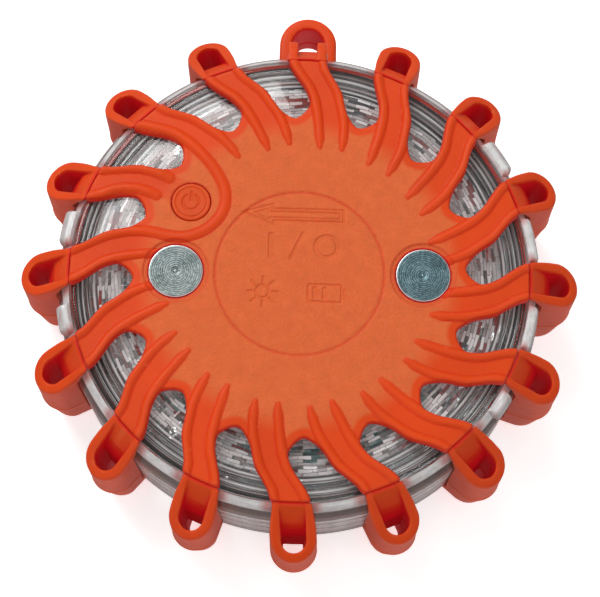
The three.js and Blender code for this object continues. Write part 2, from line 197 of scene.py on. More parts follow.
def prism(outline, z0, z1, bevel=0.2, steps=3, axis="Z"):
    """A closed prism of a convex or simple outline (x, y), with rounded edges at both ends made by an inward offset of a convex outline."""
    P = np.array(outline, dtype=float)
    area = 0.5 * np.sum(P[:, 0] * np.roll(P[:, 1], -1) - P[:, 1] * np.roll(P[:, 0], -1))
    if area < 0:
        P = P[::-1]
    nxt, prv = np.roll(P, -1, 0), np.roll(P, 1, 0)
    e1 = nxt - P
    e0 = P - prv
    n1 = np.stack([e1[:, 1], -e1[:, 0]], 1) / np.maximum(np.linalg.norm(e1, axis=1)[:, None], 1e-9)
    n0 = np.stack([e0[:, 1], -e0[:, 0]], 1) / np.maximum(np.linalg.norm(e0, axis=1)[:, None], 1e-9)
    nb = n0 + n1
    nb = nb / np.maximum((nb * n1).sum(1)[:, None], 0.35)
    rings = []
    for s in range(steps + 1):
        a = math.pi / 2 * s / steps
        rings.append((P - nb * bevel * (1 - math.sin(a)), z0 + bevel * (1 - math.cos(a))))
    for s in range(steps + 1):
        a = math.pi / 2 * s / steps
        rings.append((P - nb * bevel * (1 - math.cos(a)), z1 - bevel * (1 - math.sin(a))))
    n = len(P)
    V = np.concatenate([np.column_stack([q, np.full(n, z)]) for q, z in rings])
    quads = []
    i = np.arange(n)
    j = (i + 1) % n
    for k in range(len(rings) - 1):
        quads.append(np.stack([k * n + i, k * n + j, (k + 1) * n + j, (k + 1) * n + i], 1))
    top = (len(rings) - 1) * n + i
    bottom = i[::-1]
    return V, [np.concatenate(quads)], [bottom, top]


def turned(V, deg):
    a = math.radians(deg)
    c, s = math.cos(a), math.sin(a)
    out = np.array(V, dtype=float)
    x, y = out[:, 0].copy(), out[:, 1].copy()
    out[:, 0], out[:, 1] = c * x - s * y, s * x + c * y
    return out


# ------------------------------------------------------------------ curves and distances


def catmull(points, step=0.25, closed=False):
    """A smooth curve through points, sampled about every `step` mm."""
    P = np.array(points, dtype=float)
    n = len(P)
    out = []
    last = n if closed else n - 1
    for i in range(last):
        if closed:
            p0, p1, p2, p3 = P[i - 1], P[i], P[(i + 1) % n], P[(i + 2) % n]
        else:
            p1, p2 = P[i], P[i + 1]
            p0 = P[i - 1] if i else 2 * p1 - p2
            p3 = P[i + 2] if i + 2 < n else 2 * p2 - p1
        # centripetal parameters keep uneven spacing from overshooting
        t0 = 0.0
        t1 = t0 + max(np.linalg.norm(p1 - p0), 1e-6) ** 0.5
        t2 = t1 + max(np.linalg.norm(p2 - p1), 1e-6) ** 0.5
        t3 = t2 + max(np.linalg.norm(p3 - p2), 1e-6) ** 0.5
        k = max(2, int(np.linalg.norm(p2 - p1) / step))
        for t in np.linspace(t1, t2, k, endpoint=False):
            a1 = (t1 - t) / (t1 - t0) * p0 + (t - t0) / (t1 - t0) * p1
            a2 = (t2 - t) / (t2 - t1) * p1 + (t - t1) / (t2 - t1) * p2
            a3 = (t3 - t) / (t3 - t2) * p2 + (t - t2) / (t3 - t2) * p3
            b1 = (t2 - t) / (t2 - t0) * a1 + (t - t0) / (t2 - t0) * a2
            b2 = (t3 - t) / (t3 - t1) * a2 + (t - t1) / (t3 - t1) * a3
            out.append((t2 - t) / (t2 - t1) * b1 + (t - t1) / (t2 - t1) * b2)
    if not closed:
        out.append(P[-1])
    return np.array(out)


def polar(points):
    return np.array([[r * math.cos(math.radians(a)), r * math.sin(math.radians(a))] for r, a in points])


def line_distance(P, L, closed=False):
    """(distance, place along the line from 0 to 1) of points P from polyline L."""
    A = L
    B = np.roll(L, -1, 0) if closed else L[1:]
    if not closed:
        A = L[:-1]
    D = B - A
    L2 = np.maximum((D * D).sum(1), 1e-12)
    cum = np.concatenate([[0], np.cumsum(np.sqrt(L2))])
    dist = np.empty(len(P))
    par = np.empty(len(P))
    for s in range(0, len(P), 20000):
        p = P[s : s + 20000]
        dx = p[:, 0][:, None] - A[:, 0]
        dy = p[:, 1][:, None] - A[:, 1]
        t = np.clip((dx * D[:, 0] + dy * D[:, 1]) / L2, 0, 1)
        q = (dx - t * D[:, 0]) ** 2 + (dy - t * D[:, 1]) ** 2
        k = q.argmin(1)
        rows = np.arange(len(p))
        dist[s : s + 20000] = np.sqrt(q[rows, k])
        par[s : s + 20000] = (cum[k] + t[rows, k] * np.sqrt(L2[k])) / cum[-1]
    return dist, par


def inside(P, L):
    """Whether points P are inside the closed polygon L."""
    A, B = L, np.roll(L, -1, 0)
    out = np.zeros(len(P), dtype=bool)
    for s in range(0, len(P), 20000):
        p = P[s : s + 20000]
        y = p[:, 1][:, None]
        x = p[:, 0][:, None]
        cross = (A[:, 1] > y) != (B[:, 1] > y)
        with np.errstate(divide="ignore", invalid="ignore"):
            xi = (B[:, 0] - A[:, 0]) * (y - A[:, 1]) / (B[:, 1] - A[:, 1]) + A[:, 0]
        out[s : s + 20000] = ((cross & (x < xi)).sum(1) % 2) == 1
    return out


def smax(a, b, k):
    h = np.maximum(k - np.abs(a - b), 0) / k
    return np.maximum(a, b) + h * h * k * 0.25


def smin(a, b, k):
    return -smax(-a, -b, k)


def step01(x):
    x = np.clip(x, 0, 1)
    return x * x * (3 - 2 * x)


# ------------------------------------------------------------------ the cover's plan: windows and ridges

WINDOW = [
    (43.55, 4.8), (43, 4.65), (42, 4.15), (41, 3.4), (40, 2.5), (39, 1.5), (38, 0.5), (37, -0.3), (36, -0.95),
    (35, -1.4), (34.2, -1.25), (33.3, -0.35), (32.5, 0.85), (31.95, 2.2), (31.72, 3.6), (31.95, 4.9), (32.5, 6.3),
    (33.2, 7.55), (34, 8.7), (35, 9.7), (36, 10.45), (37, 11.1), (38, 12.0), (39, 13.2), (40, 14.45),
    (41, 15.55), (42, 16.5), (43, 17.1), (43.55, 17.35),
]
_w = catmull(polar(WINDOW), 0.25)
_out = polar([(48, 17.7), (52, 15), (54, 11), (52, 7), (48, 5.2)])
WINDOW_LINE = np.concatenate([_w, _out])

# a table of the signed distance into the windows, over one pitch
_TR = np.arange(27.0, 46.01, 0.1)
_TN = 90


def _window_table():
    th = np.arange(_TN) * PITCH / _TN
    R, T = np.meshgrid(_TR, th, indexing="ij")
    P = np.stack([R * np.cos(np.radians(T)), R * np.sin(np.radians(T))], -1).reshape(-1, 2)
    best = np.full(len(P), -1e9)
    for k in (-1, 0, 1):
        L = turned(np.column_stack([WINDOW_LINE, np.zeros(len(WINDOW_LINE))]), k * PITCH)[:, :2]
        d, _ = line_distance(P, L, closed=True)
        s = np.where(inside(P, L), d, -d)
        best = np.maximum(best, s)
    return best.reshape(R.shape)


_WT = _window_table()


def window_depth(r, deg):
    """How far inside a window a point is (negative outside), in mm."""
    u = np.clip((r - _TR[0]) / 0.1, 0, len(_TR) - 1.001)
    v = np.mod(deg, PITCH) / PITCH * _TN
    i, j = np.floor(u).astype(int), np.floor(v).astype(int) % _TN
    fu, fv = u - np.floor(u), v - np.floor(v)
    j1 = (j + 1) % _TN
    t = (_WT[i, j] * (1 - fu) + _WT[i + 1, j] * fu) * (1 - fv) + (_WT[i, j1] * (1 - fu) + _WT[i + 1, j1] * fu) * fv
    return np.where(r < _TR[0], t - (_TR[0] - r), t)


RIDGE_A = [(43.55, -4.2), (42, -4.9), (40, -6.9), (38, -9.1), (36, -10.7), (34, -12.2), (32, -13.6), (30, -14.7), (28.2, -15.5), (26.3, -16.2)]
RIDGE_B = [(43.55, 3.7), (42, 2.9), (40, 1.2), (38, -0.9), (36, -2.4), (34, -3.5), (31, -4.85), (29, -5.6), (27.4, -6.3), (25.8, -6.8)]
HOOK = [(43.55, 138.2), (41.5, 136.4), (37.74, 133.0), (34.2, 131.1), (30.77, 130.2), (27.5, 130.0), (24.43, 130.8), (22.3, 132.4), (20.6, 135.5), (19.4, 140.2),
        (18.96, 145.3), (19.1, 151.0), (19.9, 156.6), (21.4, 161.2), (23.53, 164.4), (26.3, 165.7), (29.06, 166.0), (31.8, 166.8), (34.39, 168.2), (37.0, 170.1), (39.4, 172.25), (41.5, 174.3), (43.55, 176.0)]
ARM14B = [(43.55, 161.7), (41.5, 159.6), (39.3, 156.7), (37.3, 154.8), (35.4, 153.5), (33.4, 152.8), (31.6, 152.5)]
ARM14A = [(43.55, 153.6), (41.5, 151.8), (39.0, 149.3), (36.5, 147.2), (34, 145.7), (31.4, 144.7)]


def ridge_lines(rear):
    """[(line, claw)] : centre lines of the ridges; a claw narrows and fades at its inner end."""
    out = []
    for k in range(16):
        if not (rear and k in (7, 8)):
            out.append((catmull(polar([(r, a + k * PITCH) for r, a in RIDGE_A])), "claw"))
        if not (rear and k in (6, 7)):
            out.append((catmull(polar([(r, a + k * PITCH) for r, a in RIDGE_B])), "claw"))
    if rear:
        out.append((catmull(polar(HOOK)), "open"))
        out.append((catmull(polar(ARM14A)), "stub"))
        out.append((catmull(polar(ARM14B)), "stub"))
    return out


def ridge_height(X, Y, lines, width=1.02):
    """0 to 1: the ridges' height over the plateau."""
    H = np.zeros(X.shape)
    for L, kind in lines:
        lo, hi = L.min(0) - 1.6, L.max(0) + 1.6
        m = (X > lo[0]) & (X < hi[0]) & (Y > lo[1]) & (Y < hi[1])
        if not m.any():
            continue
        P = np.stack([X[m], Y[m]], 1)
        d, t = line_distance(P, L)
        w = np.full(len(P), width)
        a = np.ones(len(P))
        if kind == "claw":
            w = width * (1 - 0.16 * step01((t - 0.5) / 0.35) - 0.34 * step01((t - 0.9) / 0.1))
            a = 1 - 0.08 * step01((t - 0.5) / 0.3) - 0.22 * step01((t - 0.88) / 0.12)
        elif kind == "stub":
            a = 1 - 0.35 * step01((t - 0.85) / 0.15)
        u = np.clip(d / w, 0, 1)
        h = a * (1 - u**2.3) ** 0.85
        H[m] = np.maximum(H[m], h)
    return H


# ------------------------------------------------------------------ a solid from a plan and a height


def height_solid(xs, ys, f, top, bottom):
    """A closed mesh over the cells where f < 0: top(x, y, depth) over bottom(x, y, depth), with its rim moved onto f = 0."""
    nx, ny = len(xs), len(ys)
    cx, cy = (xs[1:] + xs[:-1]) / 2, (ys[1:] + ys[:-1]) / 2
    CX, CY = np.meshgrid(cx, cy, indexing="ij")
    keep = f(CX, CY) < 0
    vid = np.arange(nx * ny).reshape(nx, ny)
    quad = np.stack([vid[:-1, :-1], vid[1:, :-1], vid[1:, 1:], vid[:-1, 1:]], -1)[keep]
    count = np.zeros(nx * ny, dtype=int)
    np.add.at(count, quad.ravel(), 1)
    used = np.nonzero(count)[0]
    new = np.full(nx * ny, -1)
    new[used] = np.arange(len(used))
    quad = new[quad]
    X, Y = np.meshgrid(xs, ys, indexing="ij")
    x, y = X.ravel()[used].copy(), Y.ravel()[used].copy()
    # directed boundary edges
    e = np.concatenate([quad[:, [0, 1]], quad[:, [1, 2]], quad[:, [2, 3]], quad[:, [3, 0]]])
    n = len(used)
    key = e[:, 0].astype(np.int64) * n + e[:, 1]
    rev = e[:, 1].astype(np.int64) * n + e[:, 0]
    edge = e[~np.isin(key, rev)]
    rim = np.unique(edge)
    for _ in range(5):
        px, py = x[rim], y[rim]
        h = 0.02
        v = f(px, py)
        gx = (f(px + h, py) - f(px - h, py)) / (2 * h)
        gy = (f(px, py + h) - f(px, py - h)) / (2 * h)
        g2 = np.maximum(gx * gx + gy * gy, 0.25)
        x[rim] -= v * gx / g2
        y[rim] -= v * gy / g2
    # ease the row behind the rim, so that its cells keep their shape
    isrim = np.zeros(n, dtype=bool)
    isrim[rim] = True
    nb = np.unique(quad[isrim[quad].any(1)])
    nb = nb[~isrim[nb]]
    sx, sy, c = np.zeros(n), np.zeros(n), np.zeros(n)
    for a, b in ((0, 1), (1, 2), (2, 3), (3, 0)):
        for p, q in ((quad[:, a], quad[:, b]), (quad[:, b], quad[:, a])):
            np.add.at(sx, p, x[q])
            np.add.at(sy, p, y[q])
            np.add.at(c, p, 1)
    x[nb] = 0.5 * x[nb] + 0.5 * sx[nb] / c[nb]
    y[nb] = 0.5 * y[nb] + 0.5 * sy[nb] / c[nb]
    depth = -f(x, y)
    depth[rim] = 0
    zt, zb = top(x, y, depth), bottom(x, y, depth)
    V = np.concatenate([np.column_stack([x, y, zt]), np.column_stack([x, y, zb])])
    wall = np.stack([edge[:, 1], edge[:, 0], edge[:, 0] + n, edge[:, 1] + n], 1)
    return V, [np.concatenate([quad, quad[:, ::-1] + n, wall])]


def edge_round(depth, radius):
    """How far a surface drops near an edge that is rounded over."""
    t = np.clip(depth, 0, radius)
    return radius - np.sqrt(np.maximum(radius**2 - (radius - t) ** 2, 0))


# ------------------------------------------------------------------ surface nets on a polar grid


def polar_nets(F, rs, zs, field):
    """Extracts F = 0 on a grid of radii, equal angles round a full turn and heights, then moves the vertices onto field(x, y, z) = 0."""
    nr, nt, nz = F.shape
    G = np.concatenate([F, F[:, :1]], 1)
    S = G < 0
    cnt = np.zeros((nr - 1, nt, nz - 1), dtype=np.int8)
    for a in (0, 1):
        for b in (0, 1):
            for c in (0, 1):
                cnt += S[a : nr - 1 + a, b : nt + b, c : nz - 1 + c]
    act = (cnt > 0) & (cnt < 8)
    ids = np.full(act.shape, -1, dtype=np.int64)
    ci, cj, ck = np.nonzero(act)
    ids[ci, cj, ck] = np.arange(len(ci))
    acc = np.zeros((len(ci), 3))
    num = np.zeros(len(ci))
    corner = {}
    for a in (0, 1):
        for b in (0, 1):
            for c in (0, 1):
                corner[a, b, c] = G[ci + a, cj + b, ck + c]
    edges = []
    for b in (0, 1):
        for c in (0, 1):
            edges.append(((0, b, c), (1, b, c)))
            edges.append(((b, 0, c), (b, 1, c)))
            edges.append(((b, c, 0), (b, c, 1)))
    for p, q in edges:
        fp, fq = corner[p], corner[q]
        m = (fp < 0) != (fq < 0)
        t = np.where(m, fp / np.where(m, fp - fq, 1), 0)
        for ax in range(3):
            acc[:, ax] += np.where(m, p[ax] + t * (q[ax] - p[ax]), 0)
        num += m
    acc /= num[:, None]
    r = rs[ci] + (rs[ci + 1] - rs[ci]) * acc[:, 0]
    th = (cj + acc[:, 1]) * 360.0 / nt
    z = zs[ck] + (zs[ck + 1] - zs[ck]) * acc[:, 2]
    # quads, one for each grid edge that crosses the surface
    quads = []
    s0, s1 = S[:-1, :nt, :], S[1:, :nt, :]  # along r
    m = s0 != s1
    m[:, :, 0] = m[:, :, -1] = False
    i, j, k = np.nonzero(m)
    jm = (j - 1) % nt
    q = np.stack([ids[i, jm, k - 1], ids[i, j, k - 1], ids[i, j, k], ids[i, jm, k]], 1)
    flip = s1[i, j, k]
    q[flip] = q[flip][:, ::-1]
    quads.append(q)
    s0, s1 = S[:, :nt, :], S[:, 1 : nt + 1, :]  # along the angle
    m = s0 != s1
    m[:, :, 0] = m[:, :, -1] = False
    m[0] = m[-1] = False
    i, j, k = np.nonzero(m)
    q = np.stack([ids[i - 1, j, k - 1], ids[i - 1, j, k], ids[i, j, k], ids[i, j, k - 1]], 1)
    flip = s1[i, j, k]
    q[flip] = q[flip][:, ::-1]
    quads.append(q)
    s0, s1 = S[:, :nt, :-1], S[:, :nt, 1:]  # along z
    m = s0 != s1
    m[0] = m[-1] = False
    i, j, k = np.nonzero(m)
    jm = (j - 1) % nt
    q = np.stack([ids[i - 1, jm, k], ids[i, jm, k], ids[i, j, k], ids[i - 1, j, k]], 1)
    flip = s1[i, j, k]
    q[flip] = q[flip][:, ::-1]
    quads.append(q)
    Q = np.concatenate(quads)
    a = np.radians(th)
    V = np.stack([r * np.cos(a), r * np.sin(a), z], 1)
    open_r = ci == 0  # the inner rim of the grid, left open
    h = 0.03
    free = ~open_r
    for _ in range(4):
        P = V[free]
        v = field(P)
        g = np.stack(
            [
                (field(P + np.array([h, 0, 0])) - field(P - np.array([h, 0, 0]))) / (2 * h),
                (field(P + np.array([0, h, 0])) - field(P - np.array([0, h, 0]))) / (2 * h),
                (field(P + np.array([0, 0, h])) - field(P - np.array([0, 0, h]))) / (2 * h),
            ],
            1,
        )
        g2 = np.maximum((g * g).sum(1), 0.2)
        move = (v / g2)[:, None] * g
        ln = np.linalg.norm(move, axis=1)
        move *= np.minimum(1, 0.22 / np.maximum(ln, 1e-9))[:, None]
        V[free] = P - 0.9 * move
    return V, Q, np.nonzero(open_r)[0], cj, ck


# ------------------------------------------------------------------ materials


class Mat:
    """A small helper for node materials. Positions are in metres, in object space."""

    def __init__(self, name):
        self.m = bpy.data.materials.new(name)
        self.m.use_nodes = True
        self.t = self.m.node_tree
        self.t.nodes.clear()
        self.out = self.n("ShaderNodeOutputMaterial")
        self.b = self.n("ShaderNodeBsdfPrincipled")
        self.link(self.b, "BSDF", self.out, "Surface")
        self.co = self.n("ShaderNodeTexCoord")

    def n(self, kind, **props):
        node = self.t.nodes.new(kind)
        for k, v in props.items():
            setattr(node, k, v)
        return node

    def link(self, a, ao, b, bi):
        self.t.links.new(a.outputs[ao], b.inputs[bi])

    def set(self, **kw):
        for k, v in kw.items():
            self.b.inputs[k.replace("_", " ")].default_value = v
        return self

    def mapping(self, loc=(0, 0, 0), scale=(1, 1, 1), rot=(0, 0, 0)):
        mp = self.n("ShaderNodeMapping")
        mp.inputs["Location"].default_value = loc
        mp.inputs["Scale"].default_value = scale
        mp.inputs["Rotation"].default_value = rot
        self.link(self.co, "Object", mp, "Vector")
        return mp

    def noise(self, scale, detail=3.0, rough=0.55, vec=None, distortion=0.0):
        nz = self.n("ShaderNodeTexNoise")
        nz.inputs["Scale"].default_value = scale
        nz.inputs["Detail"].default_value = detail
        nz.inputs["Roughness"].default_value = rough
        nz.inputs["Distortion"].default_value = distortion
        if vec is None:
            self.link(self.co, "Object", nz, "Vector")
        else:
            self.link(vec, 0, nz, "Vector")
        return nz

    def ramp(self, src, stops, out="Fac"):
        r = self.n("ShaderNodeValToRGB")
        e = r.color_ramp.elements
        full = lambda c: (*c, 1) if len(c) == 3 else c
        e[0].position, e[0].color = stops[0][0], full(stops[0][1])
        e[1].position, e[1].color = stops[-1][0], full(stops[-1][1])
        for p, c in stops[1:-1]:
            e.new(p).color = full(c)
        self.link(src, out, r, "Fac")
        return r

    def remap(self, src, out, lo, hi, a, b):
        r = self.n("ShaderNodeMapRange")
        r.inputs["From Min"].default_value = lo
        r.inputs["From Max"].default_value = hi
        r.inputs["To Min"].default_value = a
        r.inputs["To Max"].default_value = b
        self.link(src, out, r, "Value")
        return r

    def bump(self, src, out, strength, distance, normal=None):
        b = self.n("ShaderNodeBump")
        b.inputs["Strength"].default_value = strength
        b.inputs["Distance"].default_value = distance
        self.link(src, out, b, "Height")
        if normal is not None:
            self.link(normal, "Normal", b, "Normal")
        return b

    def mix(self, fac, a, b, kind="MIX"):
        mx = self.n("ShaderNodeMix", data_type="RGBA", blend_type=kind)
        for val, key in ((fac, 0), (a, 6), (b, 7)):
            if isinstance(val, tuple) and hasattr(val[0], "outputs"):
                self.t.links.new(val[0].outputs[val[1]], mx.inputs[key])
            elif key == 0:
                mx.inputs[0].default_value = val
            else:
                mx.inputs[key].default_value = (*val, 1) if len(val) == 3 else val
        return mx

    def math(self, op, a, b=0.0):
        mt = self.n("ShaderNodeMath", operation=op)
        for val, key in ((a, 0), (b, 1)):
            if isinstance(val, tuple):
                self.t.links.new(val[0].outputs[val[1]], mt.inputs[key])
            else:
                mt.inputs[key].default_value = val
        return mt

    def polar(self):
        """The distance from the part's axis in metres, and the direction round it as a unit vector."""
        flat = self.n("ShaderNodeVectorMath", operation="MULTIPLY")
        flat.inputs[1].default_value = (1, 1, 0)
        self.link(self.co, "Object", flat, 0)
        far = self.n("ShaderNodeVectorMath", operation="LENGTH")
        self.link(flat, "Vector", far, 0)
        way = self.n("ShaderNodeVectorMath", operation="NORMALIZE")
        self.link(flat, "Vector", way, 0)
        return (far, "Value"), way

    def rings(self, across, along, detail=3.0, rough=0.55, shift=0.0):
        """Noise drawn out round the axis: `across` features per metre of radius, `along` round the circle."""
        far, way = self.polar()
        x = self.n("ShaderNodeSeparateXYZ")
        self.link(way, "Vector", x, "Vector")
        u = self.math("MULTIPLY", (x, "X"), along)
        v = self.math("MULTIPLY", (x, "Y"), along)
        w = self.math("MULTIPLY_ADD", far, across)
        w.inputs[2].default_value = shift
        c = self.n("ShaderNodeCombineXYZ")
        self.link(u, 0, c, "X")
        self.link(v, 0, c, "Y")
        self.link(w, 0, c, "Z")
        nz = self.n("ShaderNodeTexNoise")
        nz.inputs["Scale"].default_value = 1.0
        nz.inputs["Detail"].default_value = detail
        nz.inputs["Roughness"].default_value = rough
        self.link(c, 0, nz, "Vector")
        return nz

    def done(self):
        return self.m


def rubber(name, smooth, grained, rough=0.45, grain=1.0, masked=True, painted_red_shade=(0.60, 0.009, 0.014)):
    """Moulded elastomer in two finishes: polished ribs and borders, and a paler spark-eroded grain between them, with faint flow marks and worn edges."""
    m = Mat(name)
    big = m.noise(70, 3, 0.5)
    mid = m.noise(420, 3, 0.6)
    fine = m.noise(2600, 2, 0.7)
    pits = m.n("ShaderNodeTexVoronoi", feature="F1")
    pits.inputs["Scale"].default_value = 2100
    m.link(m.co, "Object", pits, "Vector")
    if masked:
        skin = m.n("ShaderNodeAttribute", attribute_name="smooth_skin")
        fac = (skin, "Fac")
    else:
        fac = 1.0
    a1 = m.ramp(big, [(0.3, tuple(c * 0.93 for c in smooth)), (0.7, tuple(min(1, c * 1.05) for c in smooth))])
    g1 = m.ramp(mid, [(0.25, tuple(c * 0.93 for c in grained)), (0.5, grained), (0.78, tuple(min(1, c * 1.07 + 0.004) for c in grained))])
    speck = m.remap(fine, "Fac", 0.42, 0.72, 0.0, 0.22)
    g2 = m.mix((speck, "Result"), (g1, "Color"), tuple(min(1, c * 1.12 + 0.05) for c in grained))
    c1 = m.mix(fac, (g2, 2), (a1, "Color"))
    geo = m.n("ShaderNodeNewGeometry")
    wear = m.remap(geo, "Pointiness", 0.51, 0.6, 0.0, 0.22)
    c2 = m.mix((wear, "Result"), (c1, 2), tuple(min(1.0, c * 1.1 + 0.03) for c in grained))
    dust = m.noise(300, 4, 0.7)
    dfac = m.remap(dust, "Fac", 0.64, 0.82, 0.0, 0.12)
    c3 = m.mix((dfac, "Result"), (c2, 2), tuple(min(1.0, c * 1.05 + 0.06) for c in grained))
    # the hair-line where the two mould halves met is painted paler: a painted highlight along its flash
    if masked:
        xyz = m.n("ShaderNodeSeparateXYZ")
        m.link(m.co, "Object", xyz, "Vector")
        off = m.math("SUBTRACT", (xyz, "Z"), 0.0123)
        off = m.math("ABSOLUTE", (off, 0))
        line = m.remap(off, 0, 0.00005, 0.00016, 0.55, 0.0)
        c4 = m.mix((line, "Result"), (c3, 2), (0.90, 0.40, 0.15))
        # painted shade and painted bounce light: in the loops' holes, at joints and low on the cut edges the colour is
        # painted crimson, with less shine and a faint painted glow, standing in for light bounced in the rubber and
        # soaked through it
        low = m.n("ShaderNodeAttribute", attribute_name="painted_red_shade")
        c5 = m.mix((low, "Fac"), (c4, 2), painted_red_shade)
        m.link(c5, 2, m.b, "Base Color")
        dull = m.remap(low, "Fac", 0.0, 1.0, 0.5, 0.12)
        m.link(dull, "Result", m.b, "Specular IOR Level")
        painted_glow = m.remap(low, "Fac", 0.0, 1.0, 0.0, 0.075)
        m.link(painted_glow, "Result", m.b, "Emission Strength")
        m.b.inputs["Emission Color"].default_value = (1.0, 0.02, 0.035, 1)
    else:
        m.link(c3, 2, m.b, "Base Color")
    r_s = m.remap(mid, "Fac", 0.3, 0.7, rough - 0.06, rough + 0.06)
    r_g = m.remap(fine, "Fac", 0.3, 0.7, 0.56, 0.74)
    r = m.n("ShaderNodeMix", data_type="FLOAT")
    if masked:
        m.t.links.new(skin.outputs["Fac"], r.inputs[0])
    else:
        r.inputs[0].default_value = 1.0
    m.t.links.new(r_g.outputs["Result"], r.inputs[2])
    m.t.links.new(r_s.outputs["Result"], r.inputs[3])
    m.link(r, 0, m.b, "Roughness")
    # the grain stands out only where the skin isn't polished
    amount = m.math("MULTIPLY_ADD", fac if masked else 1.0, -0.82)
    amount.inputs[2].default_value = 1.0
    height = m.math("MULTIPLY", (pits, "Distance"), (amount, 0))
    b1 = m.bump(height, 0, 0.5 * grain, 0.00022)
    b2 = m.bump(fine, "Fac", 0.10 * grain, 0.00005, b1)
    b3 = m.bump(big, "Fac", 0.10, 0.0004, b2)
    m.link(b3, "Normal", m.b, "Normal")
    m.set(Subsurface_Weight=0.22, Subsurface_Scale=0.0022)
    m.b.inputs["Subsurface Radius"].default_value = (1.0, 0.08, 0.02)
    m.b.inputs["IOR"].default_value = 1.27
    return m.done()


